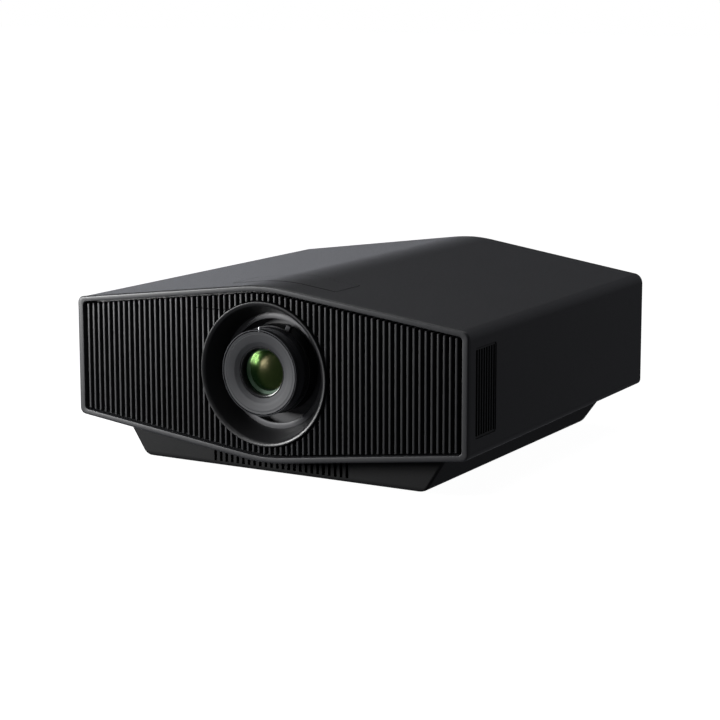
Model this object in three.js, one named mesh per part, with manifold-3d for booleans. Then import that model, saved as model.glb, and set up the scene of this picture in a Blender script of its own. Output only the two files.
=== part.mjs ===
// A home cinema projector: hexagonal housing, finned front grille, shifting lens, levelling feet.
// Millimetres. +X is the viewer's right when facing the lens, +Y runs to the back, +Z is up.
// The origin is the middle of the footprint, on the surface that the feet stand on.
import * as THREE from 'three';
import { mergeVertices } from 'three/addons/utils/BufferGeometryUtils.js';
import Module from 'manifold-3d';

const wasm = await Module();
wasm.setup();

// ---- Driving dimensions: the housing ----
const HALF_WIDTH = 230;
const FRONT_Y = -227.7;
const SIDE_BACK_Y = 213.1;
const RIDGE_BACK_Y = 235;
const BACK_TAPER = 5.45;
const RIDGE_TOP_Z = 203.5;
const SIDE_TOP_Z = 173.9;
const SIDE_BOTTOM_Z = 49.6;
const RIDGE_BOTTOM_Z = 20.6;
const WALL = 3;
const GAP = 0.4;
const RIDGE_RADIUS = 210;
const TOP_EDGE_RADIUS = 11;
const BOTTOM_EDGE_RADIUS = 6.5;
const FAR = 400;

// ---- Driving dimensions: front frame and grille ----
const FRAME_DEPTH = 4;
const FRAME_EDGE_RADIUS = 7;
const FRAME_SIDE_BAND = 6.8;
const FRAME_TOP_BAND = 5.7;
const FRAME_BOTTOM_BAND = 5.9;
const FRAME_CORNER = 4.5;
const FRAME_RIDGE_RADIUS = 180;
const FLANGE_BACK_Y = -214;
const FIN_PITCH = 6.57;
const FIN_WIDTH = 2.3;
const FINS_EACH_SIDE = 33;
const FIN_RECESS = 0.7;
const FIN_END_GAP = 2.3;
const FIN_BACK_Y = -213.5;
const RAIL_WIDTH = 9;
const RAIL_DEPTH = 3;
const RIB_HEIGHT = 3;

// ---- Driving dimensions: receiver window in the grille ----
const WINDOW_X = [-82.1, -42.7];
const WINDOW_BOTTOM_Z = 173.6;
const WINDOW_TOP_Z = 187;
const WINDOW_THICKNESS = 2;

// ---- Driving dimensions: lens recess ----
const SHROUD_Z = 112.45;
const SHROUD_RADIUS = 73.6;
const SHROUD_CREST_Y = -229.6;
const SHROUD_LIP = 3;
const SHROUD_THROAT_RADIUS = 59.6;
const SHROUD_HOLE_RADIUS = 53.5;
const SHROUD_FLOOR_Y = -204.9;
const SHROUD_THICKNESS = 2;
const COLLAR_WIDTH = 6;

// ---- Driving dimensions: lens ----
const LENS_Z = 114.9;
const LENS_FRONT_Y = -235;
const FOCUS_RADIUS = 43.9;
const FOCUS_WALL = 1.4;
const FOCUS_BACK_Y = -212.5;
const PIN_RADIUS = 1.3;
const PIN_HEIGHT = 2.3;
const PIN_X = -1;
const PIN_Y = -232;
const FACE_RADIUS = 42;
const FUNNEL_RADIUS = 31;
const MOUTH_RADIUS = 26.2;
const RETAINER_RADIUS = 25.8;
const GLASS_RADIUS = 23;
const GLASS_EDGE_Y = -225.2;
const GLASS_CROWN = 4;
const TUBE_RADIUS = 41.6;
const TUBE_BORE = 32;
const TUBE_FLANGE = 6;
const REAR_TUBE_RADIUS = 38;
const REAR_BORE = 15;
const TUBE_BACK_Y = -129;
const ZOOM_RADIUS = 45;
const ZOOM_BACK_Y = -196;
const ZOOM_LEVER_ANGLE = 24;
const ZOOM_LEVER_SIZE = [6, 5, 7];
const SKIRT_RADIUS = 62;
const SKIRT_Y = -193.5;
const SKIRT_HUB_BACK_Y = -180;

// ---- Driving dimensions: lens shift carriages ----
const PLATE_THICKNESS = 5.4;
const PLATE_GAP = 0.6;
const H_PLATE_Y = -147.7;
const H_PLATE_HALF_WIDTH = 58;
const H_PLATE_Z = [61.6, 168.9];
const V_PLATE_HALF_WIDTH = 66;
const V_PLATE_Z = [61, 172.9];
const V_PLATE_HOLE = 43;
const MOUNT_PLATE_HALF_WIDTH = 88;
const MOUNT_PLATE_Z = [53.6, 180];
const MOUNT_PLATE_THICKNESS = 6;
const MOUNT_PLATE_HOLE = 47;

// ---- Driving dimensions: adjuster bay under the top flap ----
const FLAP_HALF_WIDTH = 61;
const FLAP_FRONT_Y = -189.4;
const FLAP_BACK_Y = -140;
const FLAP_FRONT_CORNER = 5;
const FLAP_BACK_CORNER = 2;
const FLAP_THICKNESS = 2.5;
const FLAP_GAP = 0.8;
const BAY_RIM = 5;
const BAY_FLOOR_Z = 186;
const BAY_FLOOR = 2;
const DIAL_X = 25;
const DIAL_Y = -165;
const DIAL_Z = 181;
const DIAL_RADIUS = 12;
const DIAL_WIDTH = 8;

// ---- Driving dimensions: base and feet ----
const BASE_HALF_WIDTH = 167.8;
const BASE_FRONT_Y = -197;
const BASE_BACK_Y = 181.3;
const BASE_SIDE_SLOPE = 0.65;
const BASE_BACK_SLOPE = 0.27;
const BASE_Z = 5;
const BASE_TOP_Z = 48;
const BASE_FLOOR = 2.5;
const BASE_SLOTS = 24;
const BASE_SLOT_PITCH = 6.87;
const BASE_SLOT_WIDTH = 3.4;
const BASE_SLOT_BOTTOM_Z = 8.9;
const BOSS_PLACES = [[-60, -120], [60, -120], [0, 90]];
const BOSS_RADIUS = 9;
const BOSS_BOTTOM_Z = 3;
const BOSS_TOP_Z = 14;
const BOSS_THREAD_RADIUS = 2.5;
const BOSS_THREAD_TOP_Z = 12;
const FOOT_X = 132;
const FRONT_FOOT_Y = -150;
const REAR_FOOT_Y = 140;
const FRONT_FOOT_RADIUS = 14;
const REAR_FOOT_RADIUS = 12;
const FOOT_STEM_RADIUS = 5;
const FOOT_STEM_TOP_Z = 30;
const FOOT_SOCKET_WALL = 4;
const FOOT_SOCKET_TOP_Z = 18;

// ---- Driving dimensions: side vents and rear panel ----
const VENT_Y = [-211.3, -166.3];
const VENT_Z = [68.2, 156.3];
const VENT_CORNER = 3;
const VENT_RECESS = 0.8;
const VENT_BACK = 3.2;
const VENT_SLOTS = 8;
const VENT_SLOT_PITCH = 5.4;
const VENT_SLOT_WIDTH = 3.5;
const VENT_FIRST_SLOT = 1.85;
const VENT_END = 2;
const REAR_PANEL_INSET = 2;
const REAR_PANEL_BACK = 5;
const REAR_PANEL_FRONT_Y = 150;
const REAR_SLOTS = 11;
const REAR_SLOT_PITCH = 9.4;
const REAR_SLOT_WIDTH = 5;
const REAR_SLOT_X = 62;
const REAR_SLOT_Z = [68, 154];

// ---- Driving dimensions: the left side, with sockets and keys ----
const TERMINAL_X = -220;
const TERMINAL_Y = [-60, 102];
const TERMINAL_Z = [60, 112];
const SOCKET_Z = 86;
const SOCKET_FACE_X = TERMINAL_X - 1;
const PANEL_THICKNESS = 2;
const PANEL_LAP = 3;
const PANEL_CORNER = 3;
const WINDOW_CORNER = 4;
const KEYS_X = -221.5;
const KEYS_Y = [68, 152];
const KEYS_Z = [132, 162];
const KEY_RADIUS = 3.5;
const KEY_SPACING = 9.5;
const PAD_Y = 94;
const KEY_Z = 147;

// ---- Driving dimensions: inside ----
const CHASSIS_Z = 51;
const CHASSIS_THICKNESS = 2;
const CHASSIS_HALF_WIDTH = 204;
const CHASSIS_Y = [-186, 196];
const POST_RADIUS = 5;
const POST_PLACES = [-150, 150].flatMap((x) => [-120, 120].map((y) => [x, y]));
const FAN_X = 110;
const FAN_Y = 178;
const FAN_Z = 112;
const FAN_SIZE = 92;
const FAN_DEPTH = 25;
const FAN_WALL = 2.5;
const FAN_HUB_RADIUS = 18;
const FAN_BLADES = 7;
const BLADE_TILT = 38;
const BLOWER_Y = -172;
const BLOWER_Z = 108;
const BLOWER_X = [150, 192];
const BLOWER_HALF_SIZE = [33, 36];
const BLOWER_WHEEL_RADIUS = 26;
const BLOWER_BLADES = 12;
const FILTER_X = -216;
const FILTER_Y = -209;
const FILTER_PLEATS = 10;
const PLEAT_PITCH = 4;
const PLEAT_DEPTH = 5;
const FILTER_THICKNESS = 1.6;

// ---- Finishes ----
const finishes = {
  satin: { color: 0x2b2c2f, roughness: 0.45, metalness: 0.1 },
  grille: { color: 0x232427, roughness: 0.4, metalness: 0.1 },
  gloss: { color: 0x0c0c0e, roughness: 0.12, metalness: 0.0 },
  window: { color: 0x101114, roughness: 0.15, metalness: 0.0 },
  lensMetal: { color: 0x4b4c50, roughness: 0.5, metalness: 0.5 },
  bright: { color: 0xc9ccd0, roughness: 0.2, metalness: 1.0 },
  glass: { color: 0x27402c, roughness: 0.03, metalness: 0.0 },
  rubber: { color: 0x141415, roughness: 0.9, metalness: 0.0 },
  zinc: { color: 0x9a9da1, roughness: 0.4, metalness: 0.9 },
  cast: { color: 0x777a7e, roughness: 0.6, metalness: 0.8 },
  board: { color: 0x17482c, roughness: 0.6, metalness: 0.0 },
  plastic: { color: 0x17181a, roughness: 0.6, metalness: 0.0 },
  foam: { color: 0x8d9092, roughness: 0.95, metalness: 0.0 },
};

// ---- Solids ----
function signedVolume(positions, index) {
  const a = new THREE.Vector3();
  const b = new THREE.Vector3();
  const c = new THREE.Vector3();
  let total = 0;
  for (let i = 0; i < index.length; i += 3) {
    a.fromArray(positions, index[i] * 3);
    b.fromArray(positions, index[i + 1] * 3);
    c.fromArray(positions, index[i + 2] * 3);
    total += a.dot(b.cross(c));
  }
  return total;
}

// A closed geometry as a solid that can be joined and cut, with its faces turned outwards.
function solid(geometry) {
  geometry.deleteAttribute('normal');
  geometry.deleteAttribute('uv');
  const merged = mergeVertices(geometry, 1e-4);
  const positions = Float32Array.from(merged.attributes.position.array);
  const triangles = [];
  const source = merged.index.array;
  for (let i = 0; i < source.length; i += 3) {
    const [a, b, c] = [source[i], source[i + 1], source[i + 2]];
    if (a !== b && b !== c && c !== a) triangles.push(a, b, c);
  }
  if (signedVolume(positions, triangles) < 0) triangles.reverse();
  const triVerts = Uint32Array.from(triangles);
  return new wasm.Manifold(new wasm.Mesh({ numProp: 3, vertProperties: positions, triVerts }));
}

const joined = (...bodies) => bodies.reduce((all, body) => all.add(body));
const without = (body, ...tools) => tools.reduce((rest, tool) => rest.subtract(tool), body);

// A box between two corners.
function block([x0, y0, z0], [x1, y1, z1]) {
  const geometry = new THREE.BoxGeometry(x1 - x0, y1 - y0, z1 - z0);
  geometry.translate((x0 + x1) / 2, (y0 + y1) / 2, (z0 + z1) / 2);
  return solid(geometry);
}

// A ring or plug turned about the Y axis, from a closed profile of [radius, y] points.
function turned(profile, segments = 48) {
  const points = profile.map(([r, y]) => new THREE.Vector2(r, y));
  const onAxis = profile[0][0] === 0;
  if (!onAxis) points.push(points[0].clone());
  return solid(new THREE.LatheGeometry(points, segments));
}

// A rod between two values along one axis, through a point of the other two.
function rod(axis, radius, from, to, centre = [0, 0], segments = 20) {
  const geometry = new THREE.CylinderGeometry(radius, radius, to - from, segments);
  const middle = (from + to) / 2;
  if (axis === 'x') geometry.rotateZ(Math.PI / 2).translate(middle, centre[0], centre[1]);
  if (axis === 'y') geometry.translate(centre[0], middle, centre[1]);
  if (axis === 'z') geometry.rotateX(Math.PI / 2).translate(centre[0], centre[1], middle);
  return solid(geometry);
}

// A closed outline whose corners are rounded: each corner is [u, v, radius], anticlockwise.
function roundedOutline(corners) {
  const shape = new THREE.Shape();
  const count = corners.length;
  corners.forEach(([u, v, radius], i) => {
    const here = new THREE.Vector2(u, v);
    const before = new THREE.Vector2(...corners[(i + count - 1) % count]).sub(here).normalize();
    const after = new THREE.Vector2(...corners[(i + 1) % count]).sub(here).normalize();
    const half = Math.acos(THREE.MathUtils.clamp(before.dot(after), -1, 1)) / 2;
    if (!radius) {
      if (i === 0) shape.moveTo(u, v);
      else shape.lineTo(u, v);
      return;
    }
    const reach = radius / Math.tan(half);
    const start = here.clone().addScaledVector(before, reach);
    const middle = before.clone().add(after).normalize();
    const centre = here.clone().addScaledVector(middle, radius / Math.sin(half));
    const end = here.clone().addScaledVector(after, reach);
    if (i === 0) shape.moveTo(start.x, start.y);
    else shape.lineTo(start.x, start.y);
    const from = Math.atan2(start.y - centre.y, start.x - centre.x);
    const to = Math.atan2(end.y - centre.y, end.x - centre.x);
    shape.absarc(centre.x, centre.y, radius, from, to, false);
  });
  shape.closePath();
  return shape;
}

// An outline carried straight for some length, with its round stretches in three steps each.
function extruded(shape, depth) {
  return new THREE.ExtrudeGeometry(shape, { depth, bevelEnabled: false, curveSegments: 3 });
}

// An outline of X and Z carried along Y from y0 to y1.
const alongY = (shape, y0, y1) => solid(
  extruded(shape, y1 - y0).rotateX(Math.PI / 2).translate(0, y1, 0),
);

// An outline of Y and Z carried along X from x0 to x1.
const alongX = (shape, x0, x1) => solid(
  extruded(shape, x1 - x0).rotateX(Math.PI / 2).rotateZ(Math.PI / 2).translate(x0, 0, 0),
);

// An outline of X and Y carried up Z from z0 to z1.
const alongZ = (shape, z0, z1) => solid(extruded(shape, z1 - z0).translate(0, 0, z0));

const rectangle = ([u0, u1], [v0, v1], radius = 0) => roundedOutline([
  [u0, v0, radius],
  [u1, v0, radius],
  [u1, v1, radius],
  [u0, v1, radius],
]);

// ---- The assembly ----
const group = new THREE.Group();

function add(name, body, finish, { at = [0, 0, 0], parent = group } = {}) {
  const { vertProperties, triVerts } = body.getMesh();
  const geometry = new THREE.BufferGeometry();
  const position = new THREE.BufferAttribute(Float32Array.from(vertProperties), 3);
  geometry.setAttribute('position', position);
  geometry.setIndex(new THREE.BufferAttribute(Uint32Array.from(triVerts), 1));
  geometry.computeVertexNormals();
  const mesh = new THREE.Mesh(geometry, new THREE.MeshStandardMaterial(finishes[finish]));
  mesh.name = name;
  mesh.position.set(...at);
  parent.add(mesh);
}

// ---- The housing's form ----
const TOP_SLOPE = (RIDGE_TOP_Z - SIDE_TOP_Z) / HALF_WIDTH;
const BOTTOM_SLOPE = (SIDE_BOTTOM_Z - RIDGE_BOTTOM_Z) / HALF_WIDTH;
const BACK_SLOPE = (RIDGE_BACK_Y - SIDE_BACK_Y) / HALF_WIDTH;
const SIDE_SLOPE = BACK_TAPER / (SIDE_BACK_Y - FRONT_Y);

// The six-sided front elevation, moved inwards by the given bands.
function hexagon(side, top, bottom, edgeRadius, lowerRadius, ridgeRadius = RIDGE_RADIUS) {
  const halfWidth = HALF_WIDTH - side;
  const ridgeTop = RIDGE_TOP_Z - top;
  const ridgeBottom = RIDGE_BOTTOM_Z + bottom;
  return roundedOutline([
    [0, ridgeBottom, ridgeRadius],
    [halfWidth, ridgeBottom + BOTTOM_SLOPE * halfWidth, lowerRadius],
    [halfWidth, ridgeTop - TOP_SLOPE * halfWidth, edgeRadius],
    [0, ridgeTop, ridgeRadius],
    [-halfWidth, ridgeTop - TOP_SLOPE * halfWidth, edgeRadius],
    [-halfWidth, ridgeBottom + BOTTOM_SLOPE * halfWidth, lowerRadius],
  ]);
}

// The tapered housing form, inset all round, from yFront back to its shallow V.
function housingForm(inset, yFront, backInset = inset, radii = [TOP_EDGE_RADIUS, BOTTOM_EDGE_RADIUS]) {
  const radius = Math.max(radii[0] - inset, 1);
  const lower = Math.max(radii[1] - inset, 0);
  const geometry = extruded(hexagon(inset, inset, inset, radius, lower), 1);
  const position = geometry.attributes.position;
  for (let i = 0; i < position.count; i += 1) {
    const y = position.getZ(i) > 0.5 ? FRONT_Y : FRONT_Y + 2 * FAR;
    const narrowing = 1 - SIDE_SLOPE * (y - FRONT_Y) / HALF_WIDTH;
    position.setXYZ(i, position.getX(i) * narrowing, y, position.getY(i));
  }
  const backY = (x) => RIDGE_BACK_Y - backInset - BACK_SLOPE * Math.abs(x);
  const plan = roundedOutline([
    [-FAR, yFront, 0],
    [FAR, yFront, 0],
    [FAR, backY(FAR), 0],
    [0, backY(0), 0],
    [-FAR, backY(FAR), 0],
  ]);
  return solid(geometry).intersect(alongZ(plan, -FAR, FAR));
}

const shell = (yFront) => housingForm(0, yFront).subtract(housingForm(WALL, -FAR, -FAR));
const slab = (y0, y1) => block([-FAR, y0, -FAR], [FAR, y1, FAR]);
const below = (z) => block([-FAR, -FAR, -FAR], [FAR, FAR, z]);
const above = (z) => block([-FAR, -FAR, z], [FAR, FAR, FAR]);
const grown = ([low, high], spare) => [low - spare, high + spare];

const frameOpening = (inset, y0, y1) => alongY(
  hexagon(
    FRAME_SIDE_BAND + inset,
    FRAME_TOP_BAND + inset,
    FRAME_BOTTOM_BAND + inset,
    FRAME_CORNER,
    FRAME_CORNER,
    FRAME_RIDGE_RADIUS,
  ),
  y0,
  y1,
);

const FRAME_BACK_Y = FRONT_Y + FRAME_DEPTH;
const COVER_FRONT_Y = FRAME_BACK_Y + GAP;
const COVER_SPLIT_Z = SIDE_BOTTOM_Z + 7;

// ---- Front frame: the flat band round the grille, with a flange that plugs into the covers ----
function frontFrame() {
  const flangeFront = FRONT_Y + 1;
  const radii = [FRAME_EDGE_RADIUS, FRAME_EDGE_RADIUS];
  const band = housingForm(0, FRONT_Y, 0, radii).intersect(slab(FRONT_Y, FRAME_BACK_Y));
  const flange = housingForm(WALL + GAP, flangeFront, 0).intersect(slab(flangeFront, FLANGE_BACK_Y));
  return without(joined(band, flange), frameOpening(0, -FAR, FAR));
}
add('front_frame', frontFrame(), 'satin');

// ---- Grille: 67 upright fins on a rail that follows the frame, cut round the lens recess ----
const RAIL_Y = [FIN_BACK_Y - 2, FIN_BACK_Y - 2 + RAIL_DEPTH];

function finRow(yBack) {
  const fins = [];
  for (let i = -FINS_EACH_SIDE; i <= FINS_EACH_SIDE; i += 1) {
    const x = i * FIN_PITCH;
    fins.push(block([x - FIN_WIDTH / 2, FRONT_Y + FIN_RECESS, 0], [x + FIN_WIDTH / 2, yBack, FAR]));
  }
  return joined(...fins).intersect(frameOpening(FIN_END_GAP, -FAR, FAR));
}

function grille() {
  const rail = frameOpening(GAP, ...RAIL_Y).subtract(frameOpening(RAIL_WIDTH, -FAR, FAR));
  const collar = rod('y', SHROUD_RADIUS + COLLAR_WIDTH, ...RAIL_Y, [0, SHROUD_Z], 48);
  const ribEnd = HALF_WIDTH - FRAME_SIDE_BAND - FIN_END_GAP;
  const rib = block(
    [-ribEnd, FIN_BACK_Y + 0.5, SHROUD_Z - RIB_HEIGHT / 2],
    [ribEnd, RAIL_Y[1], SHROUD_Z + RIB_HEIGHT / 2],
  );
  const hole = rod('y', SHROUD_RADIUS + 2 * GAP, -FAR, FAR, [0, SHROUD_Z], 48);
  const pocket = block([WINDOW_X[0], -FAR, WINDOW_BOTTOM_Z], [WINDOW_X[1], RAIL_Y[0] - 0.2, FAR]);
  return without(joined(finRow(FIN_BACK_Y), rail, collar, rib), hole, pocket);
}
add('front_grille', grille(), 'grille');

function receiverWindow() {
  const [x0, x1] = grown(WINDOW_X, -GAP);
  const z0 = WINDOW_BOTTOM_Z + GAP;
  const plateBack = RAIL_Y[0] - 1;
  const field = block([x0, -FAR, z0], [x1, FAR, FAR]);
  const plate = block([x0, plateBack - WINDOW_THICKNESS, z0], [x1, plateBack, WINDOW_TOP_Z]);
  return joined(finRow(plateBack - 1).intersect(field), plate);
}
add('ir_window', receiverWindow(), 'window');

// ---- Lens recess: a thin rim, a glossy cone and a flat floor ring ----
add('lens_shroud', turned([
  [SHROUD_RADIUS, SHROUD_CREST_Y + SHROUD_LIP / 2],
  [SHROUD_RADIUS - SHROUD_LIP / 4, SHROUD_CREST_Y + SHROUD_LIP / 8],
  [SHROUD_RADIUS - SHROUD_LIP / 2, SHROUD_CREST_Y],
  [SHROUD_RADIUS - SHROUD_LIP, SHROUD_CREST_Y + SHROUD_LIP / 2],
  [SHROUD_THROAT_RADIUS, SHROUD_FLOOR_Y],
  [SHROUD_HOLE_RADIUS, SHROUD_FLOOR_Y],
  [SHROUD_HOLE_RADIUS, SHROUD_FLOOR_Y + SHROUD_THICKNESS],
  [SHROUD_THROAT_RADIUS + SHROUD_THICKNESS, SHROUD_FLOOR_Y + SHROUD_THICKNESS],
  [SHROUD_RADIUS, SHROUD_CREST_Y + 9],
]), 'gloss', { at: [0, 0, SHROUD_Z] });

// ---- Top cover: roof and sides in one shell, open at the front, the back and below ----
const flapForm = (spare) => alongZ(roundedOutline([
  [-FLAP_HALF_WIDTH - spare, FLAP_FRONT_Y - spare, FLAP_FRONT_CORNER],
  [FLAP_HALF_WIDTH + spare, FLAP_FRONT_Y - spare, FLAP_FRONT_CORNER],
  [FLAP_HALF_WIDTH + spare, FLAP_BACK_Y + spare, FLAP_BACK_CORNER],
  [-FLAP_HALF_WIDTH - spare, FLAP_BACK_Y + spare, FLAP_BACK_CORNER],
]), SIDE_TOP_Z - 2 * TOP_EDGE_RADIUS, FAR);

add('top_cover', without(
  shell(COVER_FRONT_Y),
  below(COVER_SPLIT_Z),
  flapForm(FLAP_GAP),
  alongX(rectangle(grown(VENT_Y, GAP), grown(VENT_Z, GAP), VENT_CORNER), -FAR, FAR),
  alongX(rectangle(TERMINAL_Y, TERMINAL_Z, WINDOW_CORNER), -FAR, 0),
  alongX(rectangle(KEYS_Y, KEYS_Z, WINDOW_CORNER), -FAR, 0),
), 'satin');

// ---- Bottom cover: the keel below the sides, with posts for the chassis plate ----
function bottomCover() {
  const keel = shell(COVER_FRONT_Y).subtract(above(COVER_SPLIT_Z - GAP));
  const inside = housingForm(1, -FAR);
  const posts = POST_PLACES.map(
    (place) => rod('z', POST_RADIUS, RIDGE_BOTTOM_Z, CHASSIS_Z - GAP, place, 12).intersect(inside),
  );
  return joined(keel, ...posts);
}
add('bottom_cover', bottomCover(), 'satin');

// ---- Top flap over the lens shift dials, hinged at its back edge ----
const flapSkin = housingForm(0, -FAR).subtract(housingForm(FLAP_THICKNESS, -FAR, -FAR));
add('top_flap', flapSkin.intersect(flapForm(0)), 'satin');

function adjusterBay() {
  const spread = (rim, z) => block(
    [-FLAP_HALF_WIDTH - rim, FLAP_FRONT_Y - rim, z],
    [FLAP_HALF_WIDTH + rim, FLAP_BACK_Y + rim, FAR],
  );
  const tray = spread(BAY_RIM, BAY_FLOOR_Z - BAY_FLOOR).intersect(housingForm(WALL + GAP, -FAR));
  const along = DIAL_RADIUS + 1;
  const across = DIAL_WIDTH / 2 + 1;
  const slotFor = (x, reachX, reachY) => block(
    [x - reachX, DIAL_Y - reachY, 0],
    [x + reachX, DIAL_Y + reachY, FAR],
  );
  return without(
    tray,
    spread(1, BAY_FLOOR_Z),
    slotFor(-DIAL_X, across, along),
    slotFor(DIAL_X, along, across),
  );
}
add('adjuster_bay', adjusterBay(), 'plastic');
for (const [name, axis, x] of [['v_shift_dial', 'x', -DIAL_X], ['h_shift_dial', 'y', DIAL_X]]) {
  const dial = rod(axis, DIAL_RADIUS, -DIAL_WIDTH / 2, DIAL_WIDTH / 2, [0, 0], 30);
  add(name, dial, 'rubber', { at: [x, DIAL_Y, DIAL_Z] });
}

// ---- Rear panel: a shallow V with two fields of exhaust slots ----
function rearPanel() {
  const inset = WALL + GAP;
  const plate = housingForm(inset, REAR_PANEL_FRONT_Y, REAR_PANEL_INSET)
    .subtract(housingForm(0, -FAR, REAR_PANEL_BACK));
  const slots = [];
  for (let i = 0; i < REAR_SLOTS; i += 1) {
    const x = REAR_SLOT_X + i * REAR_SLOT_PITCH;
    const slot = block([x, -FAR, REAR_SLOT_Z[0]], [x + REAR_SLOT_WIDTH, FAR, REAR_SLOT_Z[1]]);
    slots.push(slot, slot.mirror([1, 0, 0]));
  }
  return without(plate, ...slots);
}
add('rear_panel', rearPanel(), 'satin');

// ---- Base: an open tray under the keel, slotted in front ----
const FOOT_PLACES = { left: -FOOT_X, right: FOOT_X };

// A block that widens upwards to the sides and to the back, from z0 to the top of the base.
function baseForm(inset, z0) {
  const geometry = new THREE.BoxGeometry(2, 1, 1);
  const position = geometry.attributes.position;
  for (let i = 0; i < position.count; i += 1) {
    const z = position.getZ(i) > 0 ? BASE_TOP_Z : z0;
    const rise = z - BASE_Z;
    const halfWidth = BASE_HALF_WIDTH - inset + BASE_SIDE_SLOPE * rise;
    const back = BASE_BACK_Y - inset + BASE_BACK_SLOPE * rise;
    const y = position.getY(i) > 0 ? back : BASE_FRONT_Y + inset;
    position.setXYZ(i, position.getX(i) * halfWidth, y, z);
  }
  return solid(geometry);
}

function basePlinth() {
  const tray = baseForm(0, BASE_Z).subtract(baseForm(WALL, BASE_Z + BASE_FLOOR));
  const extras = [];
  const holes = [];
  for (const x of Object.values(FOOT_PLACES)) {
    const place = [x, FRONT_FOOT_Y];
    extras.push(rod('z', FOOT_STEM_RADIUS + FOOT_SOCKET_WALL, BASE_Z, FOOT_SOCKET_TOP_Z, place));
    holes.push(rod('z', FOOT_STEM_RADIUS + 0.5, -FAR, FAR, place));
  }
  for (const place of BOSS_PLACES) {
    extras.push(rod('z', BOSS_RADIUS, BOSS_BOTTOM_Z, BOSS_TOP_Z, place, 16));
    holes.push(rod('z', BOSS_THREAD_RADIUS, -FAR, BOSS_THREAD_TOP_Z, place, 12));
  }
  for (let i = 0; i < BASE_SLOTS; i += 1) {
    const x = (i - (BASE_SLOTS - 1) / 2) * BASE_SLOT_PITCH;
    const top = RIDGE_BOTTOM_Z + BOTTOM_SLOPE * Math.abs(x) - BASE_FLOOR;
    holes.push(block(
      [x - BASE_SLOT_WIDTH / 2, -FAR, BASE_SLOT_BOTTOM_Z],
      [x + BASE_SLOT_WIDTH / 2, BASE_FRONT_Y + 2 * WALL, top],
    ));
  }
  return without(joined(tray, ...extras), housingForm(-GAP, -FAR, -FAR), ...holes);
}
add('base_plinth', basePlinth(), 'satin');

// ---- Feet: two that screw out in front, two plain ones behind ----
for (const [side, x] of Object.entries(FOOT_PLACES)) {
  const front = { at: [x, FRONT_FOOT_Y, 0] };
  const footTop = BASE_Z - GAP;
  add(`front_foot_stem_${side}`, rod('z', FOOT_STEM_RADIUS, BASE_Z, FOOT_STEM_TOP_Z), 'zinc', front);
  add(`front_foot_pad_${side}`, rod('z', FRONT_FOOT_RADIUS, 0, footTop, [0, 0], 24), 'rubber', front);
  add(`rear_foot_${side}`, rod('z', REAR_FOOT_RADIUS, 0, footTop, [0, 0], 24), 'rubber', {
    at: [x, REAR_FOOT_Y, 0],
  });
}

// ---- Side vents: slatted panels set in the cover's sides ----
function ventPanel(side) {
  const skin = housingForm(VENT_RECESS, -FAR).subtract(housingForm(VENT_BACK, -FAR, -FAR));
  const span = side > 0 ? [0, FAR] : [-FAR, 0];
  const panel = alongX(rectangle(VENT_Y, VENT_Z, VENT_CORNER), ...span).intersect(skin);
  const slots = [];
  for (let i = 0; i < VENT_SLOTS; i += 1) {
    const y = VENT_Y[0] + VENT_FIRST_SLOT + i * VENT_SLOT_PITCH;
    const [z0, z1] = grown(VENT_Z, -VENT_END);
    slots.push(block([-FAR, y, z0], [FAR, y + VENT_SLOT_WIDTH, z1]));
  }
  return without(panel, ...slots);
}
add('side_vent_right', ventPanel(1), 'grille');
add('side_vent_left', ventPanel(-1), 'grille');

// ---- Terminal panel and its sockets, all facing -X ----
const SOCKETS = {
  power_inlet: { y: -38, width: 32, height: 25, depth: 22, wall: 3.2, cavity: 16, finish: 'plastic' },
  hdmi_socket_1: { y: -6, width: 16.6, height: 8, depth: 13, wall: 1.1, cavity: 10, finish: 'zinc' },
  hdmi_socket_2: { y: 16, width: 16.6, height: 8, depth: 13, wall: 1.1, cavity: 10, finish: 'zinc' },
  lan_socket: { y: 38, width: 16, height: 14, depth: 17, wall: 2, cavity: 13, finish: 'zinc' },
  usb_socket: { y: 57, width: 14.6, height: 7.6, depth: 15, wall: 1, cavity: 12, finish: 'zinc' },
  serial_socket: { y: 79, width: 19, height: 10.4, depth: 12, wall: 1, cavity: 6, finish: 'zinc' },
};

function terminalPanel() {
  const plate = alongX(
    rectangle(grown(TERMINAL_Y, PANEL_LAP), grown(TERMINAL_Z, PANEL_LAP), PANEL_CORNER),
    TERMINAL_X,
    TERMINAL_X + PANEL_THICKNESS,
  );
  const windows = Object.values(SOCKETS).map(({ y, width, height }) => block(
    [-FAR, y - width / 2 - GAP, SOCKET_Z - height / 2 - GAP],
    [FAR, y + width / 2 + GAP, SOCKET_Z + height / 2 + GAP],
  ));
  return without(plate, ...windows);
}
add('terminal_panel', terminalPanel(), 'plastic');

function socket({ width, height, depth, wall, cavity }) {
  const body = block([0, -width / 2, -height / 2], [depth, width / 2, height / 2]);
  const halfWidth = width / 2 - wall;
  const halfHeight = height / 2 - wall;
  return body.subtract(block([-1, -halfWidth, -halfHeight], [cavity, halfWidth, halfHeight]));
}
for (const [name, size] of Object.entries(SOCKETS)) {
  add(name, socket(size), size.finish, { at: [SOCKET_FACE_X, size.y, SOCKET_Z] });
}

// ---- Keys: round caps through a panel, each with a collar behind it ----
const KEYS = {
  key_up: [PAD_Y, KEY_Z + KEY_SPACING],
  key_down: [PAD_Y, KEY_Z - KEY_SPACING],
  key_left: [PAD_Y - KEY_SPACING, KEY_Z],
  key_right: [PAD_Y + KEY_SPACING, KEY_Z],
  key_enter: [PAD_Y, KEY_Z],
  key_menu: [118, KEY_Z],
  key_input: [130, KEY_Z],
  key_power: [142, KEY_Z],
};

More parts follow.
